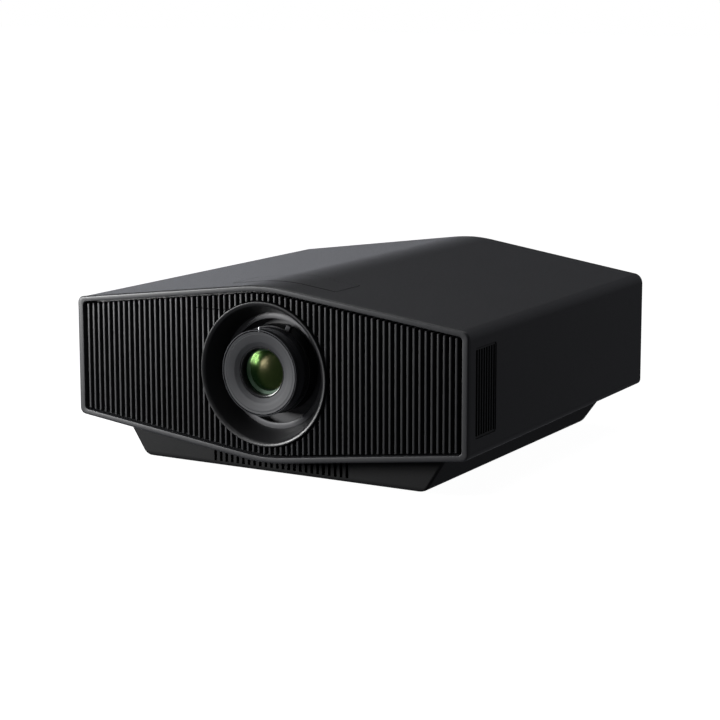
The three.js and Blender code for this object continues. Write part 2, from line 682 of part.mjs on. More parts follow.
function keyPanel() {
  const plate = alongX(
    rectangle(grown(KEYS_Y, PANEL_LAP), grown(KEYS_Z, PANEL_LAP), PANEL_CORNER),
    KEYS_X,
    KEYS_X + PANEL_THICKNESS,
  );
  const holes = Object.values(KEYS).map(
    (centre) => rod('x', KEY_RADIUS + GAP, -FAR, FAR, centre, 12),
  );
  return without(plate, ...holes);
}
add('key_panel', keyPanel(), 'gloss');

const keyCap = joined(
  rod('x', KEY_RADIUS, -1.5, 2.8, [0, 0], 12),
  rod('x', KEY_RADIUS + 0.9, 2.3, 3.3, [0, 0], 12),
);
for (const [name, [y, z]] of Object.entries(KEYS)) {
  add(name, keyCap, 'plastic', { at: [KEYS_X, y, z] });
}

// ---- Lens: turned parts on one axis, which all ride on the sideways carriage ----
const lens = new THREE.Group();
lens.position.set(0, 0, LENS_Z);
group.add(lens);
const addToLens = (name, body, finish) => add(name, body, finish, { parent: lens });

addToLens('focus_ring', turned([
  [FOCUS_RADIUS, LENS_FRONT_Y + 0.5],
  [FOCUS_RADIUS - 0.4, LENS_FRONT_Y],
  [FOCUS_RADIUS - 1.1, LENS_FRONT_Y],
  [FOCUS_RADIUS - FOCUS_WALL, LENS_FRONT_Y + 1],
  [FOCUS_RADIUS - FOCUS_WALL, FOCUS_BACK_Y],
  [FOCUS_RADIUS, FOCUS_BACK_Y],
]), 'lensMetal');
addToLens('focus_pin', rod(
  'z',
  PIN_RADIUS,
  FOCUS_RADIUS + GAP,
  FOCUS_RADIUS + GAP + PIN_HEIGHT,
  [PIN_X, PIN_Y],
  16,
), 'bright');

const FACE_Y = LENS_FRONT_Y + 0.25;
const FACE_DISH = 1.9;
const FACE_BACK_Y = LENS_FRONT_Y + 8;
addToLens('lens_face_ring', turned([
  [FACE_RADIUS, FACE_Y],
  [FUNNEL_RADIUS, FACE_Y + FACE_DISH],
  [MOUTH_RADIUS, FACE_Y + 4.4],
  [MOUTH_RADIUS, FACE_BACK_Y],
  [FACE_RADIUS, FACE_BACK_Y],
]), 'lensMetal');

const RETAINER_Y = LENS_FRONT_Y + 5.2;
const RETAINER_BACK_Y = LENS_FRONT_Y + 12;
addToLens('lens_retainer', turned([
  [RETAINER_RADIUS, RETAINER_Y],
  [RETAINER_RADIUS - 1.2, RETAINER_Y],
  [GLASS_RADIUS + GAP, RETAINER_Y + 3.4],
  [GLASS_RADIUS + GAP, RETAINER_BACK_Y],
  [RETAINER_RADIUS, RETAINER_BACK_Y],
]), 'lensMetal');

function frontGlass() {
  const profile = [];
  const curve = (GLASS_RADIUS ** 2 + GLASS_CROWN ** 2) / (2 * GLASS_CROWN);
  const steps = 5;
  for (let i = 0; i <= steps; i += 1) {
    const r = GLASS_RADIUS * i / steps;
    const sag = curve - Math.sqrt(curve ** 2 - r ** 2);
    profile.push([r, GLASS_EDGE_Y - GLASS_CROWN + sag]);
  }
  profile.push([GLASS_RADIUS, GLASS_EDGE_Y + 5]);
  profile.push([0, GLASS_EDGE_Y + 4]);
  return turned(profile, 40);
}
addToLens('front_glass', frontGlass(), 'glass');

const TUBE_FRONT_Y = FACE_BACK_Y + GAP;
const TUBE_FLANGE_Y = [H_PLATE_Y - 4, H_PLATE_Y - GAP];
addToLens('lens_tube', turned([
  [TUBE_RADIUS, TUBE_FRONT_Y],
  [MOUTH_RADIUS + 0.2, TUBE_FRONT_Y],
  [MOUTH_RADIUS + 0.2, SHROUD_FLOOR_Y],
  [TUBE_BORE, SHROUD_FLOOR_Y + 5],
  [TUBE_BORE, H_PLATE_Y - 2],
  [REAR_BORE, H_PLATE_Y + 8],
  [REAR_BORE, TUBE_BACK_Y],
  [REAR_TUBE_RADIUS, TUBE_BACK_Y],
  [REAR_TUBE_RADIUS, TUBE_FLANGE_Y[1]],
  [TUBE_RADIUS + TUBE_FLANGE, TUBE_FLANGE_Y[1]],
  [TUBE_RADIUS + TUBE_FLANGE, TUBE_FLANGE_Y[0]],
  [TUBE_RADIUS, TUBE_FLANGE_Y[0]],
], 36), 'lensMetal');

function zoomRing() {
  const front = FOCUS_BACK_Y + 0.6;
  const ring = turned([
    [ZOOM_RADIUS, front],
    [TUBE_RADIUS + GAP, front],
    [TUBE_RADIUS + GAP, ZOOM_BACK_Y],
    [ZOOM_RADIUS, ZOOM_BACK_Y],
  ]);
  const [, leverDepth, leverHeight] = ZOOM_LEVER_SIZE;
  const lever = new THREE.BoxGeometry(...ZOOM_LEVER_SIZE);
  lever.translate(0, front + leverDepth / 2 + 0.3, ZOOM_RADIUS + leverHeight / 2 - 1.1);
  lever.rotateY(THREE.MathUtils.degToRad(ZOOM_LEVER_ANGLE));
  return ring.add(solid(lever));
}
addToLens('zoom_ring', zoomRing(), 'lensMetal');

const SKIRT_THICKNESS = 1.5;
addToLens('lens_skirt', turned([
  [SKIRT_RADIUS, SKIRT_Y],
  [TUBE_RADIUS + GAP, SKIRT_Y],
  [TUBE_RADIUS + GAP, SKIRT_HUB_BACK_Y],
  [ZOOM_RADIUS + 0.6, SKIRT_HUB_BACK_Y],
  [ZOOM_RADIUS + 0.6, SKIRT_Y + SKIRT_THICKNESS],
  [SKIRT_RADIUS, SKIRT_Y + SKIRT_THICKNESS],
], 40), 'plastic');

// ---- Shift carriages and the plate that carries them ----
function holedPlate(halfWidth, [z0, z1], y, thickness, holeRadius, holeZ) {
  const plate = block([-halfWidth, y, z0], [halfWidth, y + thickness, z1]);
  return plate.subtract(rod('y', holeRadius, -FAR, FAR, [0, holeZ], 40));
}
const V_PLATE_Y = H_PLATE_Y + PLATE_THICKNESS + PLATE_GAP;
const MOUNT_PLATE_Y = V_PLATE_Y + PLATE_THICKNESS + PLATE_GAP;
add('h_shift_plate', holedPlate(
  H_PLATE_HALF_WIDTH,
  H_PLATE_Z,
  H_PLATE_Y,
  PLATE_THICKNESS,
  REAR_TUBE_RADIUS + GAP,
  LENS_Z,
), 'zinc');
add('v_shift_plate', holedPlate(
  V_PLATE_HALF_WIDTH,
  V_PLATE_Z,
  V_PLATE_Y,
  PLATE_THICKNESS,
  V_PLATE_HOLE,
  LENS_Z,
), 'zinc');
add('lens_mount_plate', holedPlate(
  MOUNT_PLATE_HALF_WIDTH,
  MOUNT_PLATE_Z,
  MOUNT_PLATE_Y,
  MOUNT_PLATE_THICKNESS,
  MOUNT_PLATE_HOLE,
  SHROUD_Z,
), 'cast');

// ---- Chassis, light engine, laser and heat sink ----
const CHASSIS_TOP_Z = CHASSIS_Z + CHASSIS_THICKNESS;
const LASER_X = [92, 160];
const LASER_Z = [80, 146];
const SINK_FINS = 12;
const SINK_PITCH = 6;
const SINK_Y = [5, 90];

add('chassis_plate', block(
  [-CHASSIS_HALF_WIDTH, CHASSIS_Y[0], CHASSIS_Z],
  [CHASSIS_HALF_WIDTH, CHASSIS_Y[1], CHASSIS_TOP_Z],
), 'zinc');

function lightEngine() {
  const floor = 58;
  const feet = [-70, 70].flatMap((x) => [-118, -28].map(
    (y) => rod('z', 6, CHASSIS_TOP_Z + GAP, floor + 2, [x, y], 12),
  ));
  return joined(
    block([-78, -126, floor], [78, -20, 158]),
    block([-60, -22, floor], [60, 30, 140]),
    ...feet,
  );
}
add('light_engine', lightEngine(), 'cast');
add('laser_module', block([LASER_X[0], -46, LASER_Z[0]], [LASER_X[1], 4, LASER_Z[1]]), 'zinc');

function heatSink() {
  const [z0, z1] = grown(LASER_Z, 4);
  const base = block([LASER_X[0], SINK_Y[0], z0], [LASER_X[1], SINK_Y[0] + 5, z1]);
  const fins = [];
  for (let i = 0; i < SINK_FINS; i += 1) {
    const x = LASER_X[0] + i * SINK_PITCH;
    fins.push(block([x, SINK_Y[0] + 3, z0], [x + 2, SINK_Y[1], z1]));
  }
  return joined(base, ...fins);
}
add('heat_sink', heatSink(), 'cast');

// ---- Boards: each component is { at: [x, y], size: [x, y, z] } from the board's own corner ----
const BOARD_THICKNESS = 1.6;
function circuitBoard([width, depth], components) {
  const board = block([0, 0, 0], [width, depth, BOARD_THICKNESS]);
  const pieces = components.map(({ at: [x, y], size: [sx, sy, sz] }) => block(
    [x, y, BOARD_THICKNESS / 2],
    [x + sx, y + sy, BOARD_THICKNESS + sz],
  ));
  return joined(board, ...pieces);
}
add('main_board', circuitBoard([104, 150], [
  { at: [12, 12], size: [34, 34, 12] },
  { at: [60, 14], size: [30, 30, 3] },
  { at: [14, 64], size: [18, 18, 3] },
  { at: [44, 62], size: [22, 24, 3] },
  { at: [14, 100], size: [60, 12, 8] },
  { at: [78, 70], size: [14, 60, 4] },
]), 'board', { at: [-192, -105, 118] });
add('power_board', circuitBoard([104, 180], [
  { at: [10, 14], size: [36, 32, 30] },
  { at: [58, 14], size: [30, 44, 26] },
  { at: [14, 64], size: [24, 24, 34] },
  { at: [52, 78], size: [36, 30, 22] },
  { at: [14, 120], size: [70, 40, 10] },
]), 'board', { at: [-192, -105, 58] });

// ---- Fans: square frames at the back, each round its own centre ----
const FAN_HALF = FAN_SIZE / 2;
const FAN_FACES = [-FAN_DEPTH / 2, FAN_DEPTH / 2];

function fanFrame() {
  const [y0, y1] = FAN_FACES;
  const frame = block([-FAN_HALF, y0, -FAN_HALF], [FAN_HALF, y1, FAN_HALF])
    .subtract(rod('y', FAN_HALF - FAN_WALL, -FAR, FAR, [0, 0], 40));
  const reach = FAN_HALF - 1;
  return joined(
    frame,
    block([-reach, y0, -2], [reach, y0 + 3, 2]),
    block([-2, y0, -reach], [2, y0 + 3, reach]),
    rod('y', FAN_HUB_RADIUS - 1, y0, y0 + 4),
  );
}

function fanRotor() {
  const y0 = FAN_FACES[0] + 4.6;
  const y1 = FAN_FACES[1] - 1.5;
  const sweep = rod('y', FAN_HALF - FAN_WALL - 2, y0, y1, [0, 0], 40);
  const blades = [];
  for (let i = 0; i < FAN_BLADES; i += 1) {
    const blade = new THREE.BoxGeometry(22, 1.6, 24);
    blade.rotateZ(THREE.MathUtils.degToRad(BLADE_TILT)).translate(0, (y0 + y1) / 2, 28.5);
    blade.rotateY(2 * Math.PI * i / FAN_BLADES);
    blades.push(solid(blade));
  }
  return joined(rod('y', FAN_HUB_RADIUS, y0, y1, [0, 0], 24), ...blades).intersect(sweep);
}
for (const [side, x] of Object.entries({ left: -FAN_X, right: FAN_X })) {
  add(`fan_frame_${side}`, fanFrame(), 'plastic', { at: [x, FAN_Y, FAN_Z] });
  add(`fan_rotor_${side}`, fanRotor(), 'plastic', { at: [x, FAN_Y, FAN_Z] });
}

// ---- Blower behind the right-hand vent ----
const BLOWER_AT = [BLOWER_X[0], BLOWER_Y, BLOWER_Z];
const BLOWER_DEPTH = BLOWER_X[1] - BLOWER_X[0];

function blowerHousing() {
  const [halfY, halfZ] = BLOWER_HALF_SIZE;
  return without(
    block([0, -halfY, -halfZ], [BLOWER_DEPTH, halfY, halfZ]),
    rod('x', BLOWER_WHEEL_RADIUS + 4, 4, BLOWER_DEPTH - 3, [0, 0], 32),
    rod('x', BLOWER_WHEEL_RADIUS - 6, BLOWER_DEPTH - 12, FAR, [0, 0], 24),
    block([8, 0, -2 * halfZ], [BLOWER_DEPTH - 6, halfY - 7, 0]),
  );
}
add('blower_housing', blowerHousing(), 'plastic', { at: BLOWER_AT });

function blowerWheel() {
  const blades = [];
  for (let i = 0; i < BLOWER_BLADES; i += 1) {
    const blade = new THREE.BoxGeometry(28, 5, 1.2);
    blade.translate(21, BLOWER_WHEEL_RADIUS - 2.5, 0).rotateX(2 * Math.PI * i / BLOWER_BLADES);
    blades.push(solid(blade));
  }
  const disc = rod('x', BLOWER_WHEEL_RADIUS, 6, 8.5, [0, 0], 32);
  const hub = rod('x', 10, 6, 26, [0, 0], 16);
  return joined(disc, hub, ...blades);
}
add('blower_wheel', blowerWheel(), 'plastic', { at: BLOWER_AT });

// ---- Air filter: a pleated pad behind the left-hand vent ----
function airFilter() {
  const front = [];
  const back = [];
  for (let i = 0; i <= FILTER_PLEATS * 2; i += 1) {
    const x = FILTER_X + (i % 2) * PLEAT_DEPTH;
    const y = FILTER_Y + i * PLEAT_PITCH / 2;
    front.push([x, y, 0]);
    back.unshift([x + FILTER_THICKNESS, y, 0]);
  }
  return alongZ(roundedOutline([...back, ...front]), ...grown(VENT_Z, 2));
}
add('air_filter', airFilter(), 'foam');

export default group;
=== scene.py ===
"""The looks of a home cinema projector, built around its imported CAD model. Metres, +Z up, lens towards -Y."""

import math

import bmesh
import bpy
from mathutils import Matrix, Vector


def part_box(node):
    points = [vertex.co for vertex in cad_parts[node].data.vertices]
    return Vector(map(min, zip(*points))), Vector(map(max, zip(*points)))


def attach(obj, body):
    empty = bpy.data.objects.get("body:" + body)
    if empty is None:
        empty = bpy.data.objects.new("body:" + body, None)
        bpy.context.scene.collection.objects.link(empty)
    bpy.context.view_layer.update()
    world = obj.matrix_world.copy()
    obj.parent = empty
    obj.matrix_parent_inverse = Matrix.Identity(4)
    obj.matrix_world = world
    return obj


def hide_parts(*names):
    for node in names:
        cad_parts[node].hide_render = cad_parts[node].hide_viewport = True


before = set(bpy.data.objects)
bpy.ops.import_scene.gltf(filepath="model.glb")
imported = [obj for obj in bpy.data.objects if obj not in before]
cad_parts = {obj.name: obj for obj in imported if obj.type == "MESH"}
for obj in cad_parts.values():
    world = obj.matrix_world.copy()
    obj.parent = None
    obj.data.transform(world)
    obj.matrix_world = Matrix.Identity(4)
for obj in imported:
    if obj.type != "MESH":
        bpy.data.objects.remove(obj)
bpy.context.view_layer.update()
MM = 0.001

# ---- Sizes taken from the frame ----
FRAME_LO, FRAME_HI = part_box("front_frame")
SHROUD_LO, SHROUD_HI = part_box("lens_shroud")
FOCUS_LO, FOCUS_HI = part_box("focus_ring")
HALF_WIDTH = FRAME_HI.x
FRONT_Y = FRAME_LO.y
BASE_FRONT_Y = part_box("base_plinth")[0].y
RIDGE_BACK_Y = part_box("top_cover")[1].y
SHROUD_Z = (SHROUD_LO.z + SHROUD_HI.z) / 2
SHROUD_RADIUS = SHROUD_HI.x
LENS_Z = (FOCUS_LO.z + FOCUS_HI.z) / 2
LENS_FRONT_Y = FOCUS_LO.y
FOCUS_RADIUS = FOCUS_HI.x
IR_LO, IR_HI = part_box("ir_window")
GLASS_LO, GLASS_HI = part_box("front_glass")
VENT_LO, VENT_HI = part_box("side_vent_right")

# ---- Sizes of the housing's form ----
SIDE_BACK_Y = 213.1 * MM
BACK_TAPER = 5.45 * MM
RIDGE_TOP_Z = 203.5 * MM
SIDE_TOP_Z = 173.9 * MM
SIDE_BOTTOM_Z = 49.6 * MM
RIDGE_BOTTOM_Z = 20.6 * MM
RIDGE_RADIUS = 210 * MM
TOP_EDGE_RADIUS = 11 * MM
BOTTOM_EDGE_RADIUS = 6.5 * MM
WALL = 3 * MM
GAP = 0.4 * MM
FAR = 0.4
FRAME_BACK_Y = FRONT_Y + 4 * MM
FRAME_FLANGE_Y = FRONT_Y + 13.7 * MM
FRAME_OUTER_CORNER = 7 * MM
FRAME_INNER_CORNER = 4.5 * MM
COVER_FRONT_Y = FRAME_BACK_Y + GAP
COVER_SPLIT_Z = SIDE_BOTTOM_Z + 7 * MM
COVER_EDGE = 0.3 * MM
SIDE_BAND = 6.8 * MM
TOP_BAND = 5.7 * MM
BOTTOM_BAND = 5.9 * MM
TOP_SLOPE = (RIDGE_TOP_Z - SIDE_TOP_Z) / HALF_WIDTH
BOTTOM_SLOPE = (SIDE_BOTTOM_Z - RIDGE_BOTTOM_Z) / HALF_WIDTH
BACK_SLOPE = (RIDGE_BACK_Y - SIDE_BACK_Y) / HALF_WIDTH
SIDE_SLOPE = BACK_TAPER / (SIDE_BACK_Y - FRONT_Y)
RIDGE_ROLL = 27 * MM

# ---- Openings in the cover ----
FLAP_HALF_WIDTH = 61 * MM
FLAP_FRONT_Y = -189.4 * MM
FLAP_BACK_Y = -140 * MM
FLAP_GAP = 0.8 * MM
FLAP_WALL = 2.5 * MM
FLAP_RELIEF = 2.4 * MM
FLAP_CUT_Z = 150 * MM
VENT_Y = (VENT_LO.y - GAP, VENT_HI.y + GAP)
VENT_Z = (VENT_LO.z - GAP, VENT_HI.z + GAP)
TERMINAL_Y = (-60 * MM, 102 * MM)
TERMINAL_Z = (60 * MM, 112 * MM)
KEYS_Y = (68 * MM, 152 * MM)
KEYS_Z = (132 * MM, 162 * MM)
BOTTOM_POSTS = [(x * MM, y * MM) for x in (-150, 150) for y in (-120, 120)]

# ---- Grille ----
FIN_PITCH = 6.57 * MM
FIN_WIDTH = 2.3 * MM
FINS_EACH_SIDE = 33
FIN_TIP_Y = FRONT_Y + 0.7 * MM
FIN_BACK_Y = -213.5 * MM
FIN_END_INSET = 2.3 * MM
FIN_TIP_RADIUS = 0.38 * MM
FIN_DRAFT = 0.15 * MM
RAIL_WIDTH = 9 * MM

# ---- Lens recess ----
SHROUD_FLOOR_Y = SHROUD_HI.y - 2 * MM
THROAT_RADIUS = 59.6 * MM
HOLE_RADIUS = 53.5 * MM
CREST_Y = SHROUD_LO.y
CREST_EDGE = 0.7 * MM
CREST_ROLL = 4.5 * MM
ROLL_ANGLE = 66

# ---- Lens ----
LENS_INNER_RADIUS = 42 * MM
FACE_Y = LENS_FRONT_Y + 0.25 * MM
FACE_DISH = 1.9 * MM
FUNNEL_RADIUS = 31 * MM
FUNNEL_DEPTH = 2.5 * MM
MOUTH_RADIUS = 26.2 * MM
RETAINER_RADIUS = 25.8 * MM
RETAINER_BORE = 23.4 * MM
FRONT_CROWN = 4 * MM
SECOND_CROWN = 5.1 * MM
SECOND_RADIUS = 19.6 * MM
BARREL_RADIUS = 23.2 * MM
GRIP_GROOVES = 6
GRIP_GROOVE_PITCH = 1.6 * MM
ZOOM_RADIUS = 45 * MM
ZOOM_LEVER_ANGLE = 24

# ---- Base and feet ----
BASE_SIDE_SLOPE = 0.65
BASE_BACK_SLOPE = 0.27
BASE_Z = 5 * MM
BASE_HALF_WIDTH = 167.8 * MM
BASE_BACK_Y = 181.3 * MM
BASE_TOP_Z = 48 * MM
BASE_SLOT_COUNT = 24
BASE_SLOT_PITCH = 6.87 * MM
BASE_SLOT_WIDTH = 3.4 * MM
BASE_SLOT_LOW_Z = 8.9 * MM
FOOT_X = 132 * MM
FRONT_FOOT_Y = -150 * MM
BOSS_PLACES = [(-60 * MM, -120 * MM), (60 * MM, -120 * MM), (0, 90 * MM)]
THREAD_PITCH = 1.0 * MM
THREAD_DEPTH = 0.35 * MM

# ---- Wear on edges ----
WEAR_RADIUS = 0.6 * MM
WEAR_POLISH = 0.06

# ---- Light ----
FLOOR_GLOW = 0.98
SKY = 0.055
GLOW = 2.2
GLOW_TOWARDS = (-0.743, 0.669, 0.0)
FILL = 0.045
RIM = 0.13
RIM_TOWARDS = (0.3, 0.86, 0.41)
ROOM_COLOUR = (0.965, 0.985, 1.07, 1)

# ---- Camera ----
CAMERA_AZIMUTH = math.radians(29.58)
CAMERA_ELEVATION = math.radians(9.454)
CAMERA_DISTANCE = 2.2617
CAMERA_AIM = Vector((0, -7.3 * MM, 111.75 * MM))
CAMERA_SLIDE = 3.37 * MM
CAMERA_RISE = 20.88 * MM
CAMERA_LENS = 103.63
CAMERA_SHIFT = (-0.0211, -0.0516)


# ---- Mesh helpers ----
def make_object(name, verts, faces, angle=30):
    mesh = bpy.data.meshes.new(name)
    mesh.from_pydata([tuple(v) for v in verts], [], faces)
    bm = bmesh.new()
    bm.from_mesh(mesh)
    bmesh.ops.remove_doubles(bm, verts=bm.verts, dist=1e-7)
    bmesh.ops.recalc_face_normals(bm, faces=bm.faces)
    bm.to_mesh(mesh)
    bm.free()
    obj = bpy.data.objects.new(name, mesh)
    bpy.context.scene.collection.objects.link(obj)
    shade(obj, angle)
    return obj


def shade(obj, angle=30):
    obj.data.shade_smooth()
    obj.data.set_sharp_from_angle(angle=math.radians(angle))


def bake_modifiers(obj, weighted=False):
    """Replaces the mesh with its evaluated form, so no modifier is left."""
    if weighted:
        even = obj.modifiers.new("even", "WEIGHTED_NORMAL")
        even.keep_sharp = True
        even.weight = 80
    bpy.context.view_layer.update()
    graph = bpy.context.evaluated_depsgraph_get()
    mesh = bpy.data.meshes.new_from_object(obj.evaluated_get(graph))
    old = obj.data
    obj.modifiers.clear()
    obj.data = mesh
    mesh.name = obj.name
    bpy.data.meshes.remove(old)
    if not weighted:
        shade(obj)


def cut(obj, *tools, operation="DIFFERENCE"):
    for tool in tools:
        modifier = obj.modifiers.new("cut", "BOOLEAN")
        modifier.operation = operation
        modifier.solver = "EXACT"
        modifier.object = tool
    bake_modifiers(obj)
    for tool in tools:
        bpy.data.objects.remove(tool)
    return obj


def bevel(obj, width, segments=2, angle=35):
    """Rounds the sharp edges, then shades flat faces flat and the rounding smooth."""
    shade(obj, angle)
    modifier = obj.modifiers.new("bevel", "BEVEL")
    modifier.width = width
    modifier.segments = segments
    modifier.limit_method = "ANGLE"
    modifier.angle_limit = math.radians(angle)
    bake_modifiers(obj)
    shade(obj, 60)
    bake_modifiers(obj, weighted=True)
    return obj


def flattened(obj):
    """Joins faces that lie in one plane."""
    bm = bmesh.new()
    bm.from_mesh(obj.data)
    bmesh.ops.remove_doubles(bm, verts=bm.verts, dist=1e-6)
    bmesh.ops.dissolve_limit(bm, angle_limit=math.radians(0.5), verts=bm.verts, edges=bm.edges)
    bm.to_mesh(obj.data)
    bm.free()
    return obj


def softened(node, width):
    """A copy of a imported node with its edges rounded."""
    piece = bpy.data.objects.new(node + "_moulding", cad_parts[node].data.copy())
    bpy.context.scene.collection.objects.link(piece)
    return bevel(flattened(piece), width)


def moved(obj, matrix):
    obj.data.transform(matrix)
    return obj


def join(name, objects, angle=30):
    """One object from several, in the order given."""
    bm = bmesh.new()
    for obj in objects:
        bm.from_mesh(obj.data)
    mesh = bpy.data.meshes.new(name)
    bm.to_mesh(mesh)
    bm.free()
    for obj in objects:
        bpy.data.objects.remove(obj)
    joined = bpy.data.objects.new(name, mesh)
    bpy.context.scene.collection.objects.link(joined)
    shade(joined, angle)
    return joined


def loft(name, loops, angle=30, closed=False):
    """A closed solid through loops of equal length: capped at both ends, or joined end to end."""
    count = len(loops[0])
    verts = [v for loop in loops for v in loop]
    faces = []
    rows = len(loops)
    for r in range(rows if closed else rows - 1):
        for i in range(count):
            a = r * count + i
            b = r * count + (i + 1) % count
            c = ((r + 1) % rows) * count + (i + 1) % count
            d = ((r + 1) % rows) * count + i
            faces.append((a, b, c, d))
    if not closed:
        faces.append(tuple(range(count)))
        faces.append(tuple(range((rows - 1) * count, rows * count)))
    return make_object(name, verts, faces, angle)


def block(low, high):
    x0, y0, z0 = low
    x1, y1, z1 = high
    corners = [(x0, y0), (x1, y0), (x1, y1), (x0, y1)]
    return loft("block", [[(x, y, z) for x, y in corners] for z in (z0, z1)])


def lathe(name, profile, centre=(0, 0), segments=128, angle=30):
    """Turns a profile of (radius, y) about a line parallel to Y.

    The profile closes on itself, or starts and ends on the axis.
    """
    cx, cz = centre
    verts = []
    rings = []
    for radius, y in profile:
        if radius < 1e-9:
            rings.append([len(verts)])
            verts.append((cx, y, cz))
            continue
        start = len(verts)
        for i in range(segments):
            a = 2 * math.pi * i / segments
            verts.append((cx + radius * math.cos(a), y, cz + radius * math.sin(a)))
        rings.append(list(range(start, start + segments)))
    on_axis = profile[0][0] < 1e-9
    pairs = list(zip(rings, rings[1:])) + ([] if on_axis else [(rings[-1], rings[0])])
    faces = []
    for low, high in pairs:
        for i in range(segments):
            j = (i + 1) % segments
            if len(low) == 1:
                faces.append((low[0], high[j], high[i]))
            elif len(high) == 1:
                faces.append((low[i], low[j], high[0]))
            else:
                faces.append((low[i], low[j], high[j], high[i]))
    return make_object(name, verts, faces, angle)


TO_AXIS = {
    "x": Matrix.Rotation(math.radians(-90), 4, "Z"),
    "y": Matrix.Identity(4),
    "z": Matrix.Rotation(math.radians(90), 4, "X"),
}


def turned_piece(name, axis, profile, centre, segments=64, angle=30):
    """A lathe of (radius, distance along the axis) through a centre."""
    piece = lathe(name, profile, (0, 0), segments, angle)
    return moved(piece, Matrix.Translation(centre) @ TO_AXIS[axis])


def knurled(name, axis, radius, teeth, depth, ends, centre, chamfer):
    """A roll with soft ribs along it, closed at both ends and chamfered."""
    low, high = ends
    loops = []
    for at, shy in ((low, chamfer), (low + chamfer, 0), (high - chamfer, 0), (high, chamfer)):
        loop = []
        for i in range(teeth * 6):
            a = 2 * math.pi * i / (teeth * 6)
            r = radius - shy - depth * (0.5 - 0.5 * math.cos(teeth * a)) ** 0.6
            loop.append((r * math.cos(a), at, r * math.sin(a)))
        loops.append(loop)
    return moved(loft(name, loops, angle=50), Matrix.Translation(centre) @ TO_AXIS[axis])


def arc(centre, radius, start, end, steps):
    """Points (u, v) on an arc, angles in degrees."""
    points = []
    for i in range(steps + 1):
        a = math.radians(start + (end - start) * i / steps)
        points.append((centre[0] + radius * math.cos(a), centre[1] + radius * math.sin(a)))
    return points


def rounded_outline(corners, steps=8):
    """Corners are (u, v, radius), anticlockwise; each gives steps + 1 points."""
    points = []
    count = len(corners)
    for i, (u, v, radius) in enumerate(corners):
        here = Vector((u, v))
        before = (Vector(corners[(i - 1) % count][:2]) - here).normalized()
        after = (Vector(corners[(i + 1) % count][:2]) - here).normalized()
        half = before.angle(after) / 2
        radius = max(radius, 1e-6)
        centre = here + (before + after).normalized() * (radius / math.sin(half))
        start = here + before * (radius / math.tan(half)) - centre
        end = here + after * (radius / math.tan(half)) - centre
        a0 = math.atan2(start.y, start.x)
        turn = start.angle_signed(end)
        for k in range(steps + 1):
            a = a0 - turn * k / steps
            points.append((centre.x + radius * math.cos(a), centre.y + radius * math.sin(a)))
    return points


def rectangle(u, v, radius, steps=4):
    corners = [(u[0], v[0]), (u[1], v[0]), (u[1], v[1]), (u[0], v[1])]
    return rounded_outline([(*corner, radius) for corner in corners], steps)


def along_x(outline, x0, x1):
    return loft("prism", [[(x, u, v) for u, v in outline] for x in (x0, x1)])


def along_y(outline, y0, y1):
    return loft("prism", [[(u, y, v) for u, v in outline] for y in (y0, y1)])


def along_z(outline, z0, z1):
    return loft("prism", [[(u, v, z) for u, v in outline] for z in (z0, z1)])


# ---- The housing's form ----
def hexagon(side, top, bottom, edge_radius, lower_radius, ridge_radius=RIDGE_RADIUS, steps=8):
    """The front elevation as (x, z), moved in by side, top and bottom."""
    half = HALF_WIDTH - side
    high = RIDGE_TOP_Z - top
    low = RIDGE_BOTTOM_Z + bottom
    return rounded_outline([
        (0, low, ridge_radius),
        (half, low + BOTTOM_SLOPE * half, lower_radius),
        (half, high - TOP_SLOPE * half, edge_radius),
        (0, high, ridge_radius),
        (-half, high - TOP_SLOPE * half, edge_radius),
        (-half, low + BOTTOM_SLOPE * half, lower_radius),
    ], steps)


def narrowed(x, y):
    """The width closes slowly towards the back."""
    return x * (1 - SIDE_SLOPE * (y - FRONT_Y) / HALF_WIDTH)


def back_y(x):
    return RIDGE_BACK_Y - BACK_SLOPE * abs(x)


def housing_solid(inset, y0, y1):
    """The tapered six-sided form between two planes, inset all round."""
    top = max(TOP_EDGE_RADIUS - inset, 1 * MM)
    bottom = max(BOTTOM_EDGE_RADIUS - inset, 0.3 * MM)
    outline = hexagon(inset, inset, inset, top, bottom, steps=12)
    return loft("form", [[(narrowed(x, y), y, z) for x, z in outline] for y in (y0, y1)])


def back_plan():
    """What lies in front of the shallow V at the back."""
    corners = [(-FAR, -FAR), (FAR, -FAR), (FAR, back_y(FAR)), (0, back_y(0)), (-FAR, back_y(FAR))]
    return along_z(corners, -FAR, FAR)


def housing_shell(wall=WALL):
    """The housing's skin from the frame to the back, open at the front."""
    skin = housing_solid(0, COVER_FRONT_Y, FAR)
    cut(skin, back_plan(), operation="INTERSECT")
    return cut(skin, housing_solid(wall, -FAR, 2 * FAR))


def top_cover():
    """The upper shell. It is parted after its edges are rounded, so its lower edge stays crisp."""
    shell = housing_shell()
    below = block((-FAR, -FAR, -FAR), (FAR, FAR, COVER_SPLIT_Z - 0.3 * MM))
    flap = along_z(flap_outline(FLAP_GAP), FLAP_CUT_Z, FAR)
    vents = along_x(rectangle(VENT_Y, VENT_Z, 3 * MM), -FAR, FAR)
    sockets = along_x(rectangle(TERMINAL_Y, TERMINAL_Z, 4 * MM), -FAR, 0)
    keys = along_x(rectangle(KEYS_Y, KEYS_Z, 4 * MM), -FAR, 0)
    cut(shell, flap, vents, sockets, keys)
    bevel(shell, COVER_EDGE)
    cut(shell, below)
    bake_modifiers(shell, weighted=True)
    return shell


def flap_outline(spare):
    return rounded_outline([
        (-FLAP_HALF_WIDTH - spare, FLAP_FRONT_Y - spare, 5 * MM),
        (FLAP_HALF_WIDTH + spare, FLAP_FRONT_Y - spare, 5 * MM),
        (FLAP_HALF_WIDTH + spare, FLAP_BACK_Y + spare, 2 * MM),
        (-FLAP_HALF_WIDTH - spare, FLAP_BACK_Y + spare, 2 * MM),
    ], 8)


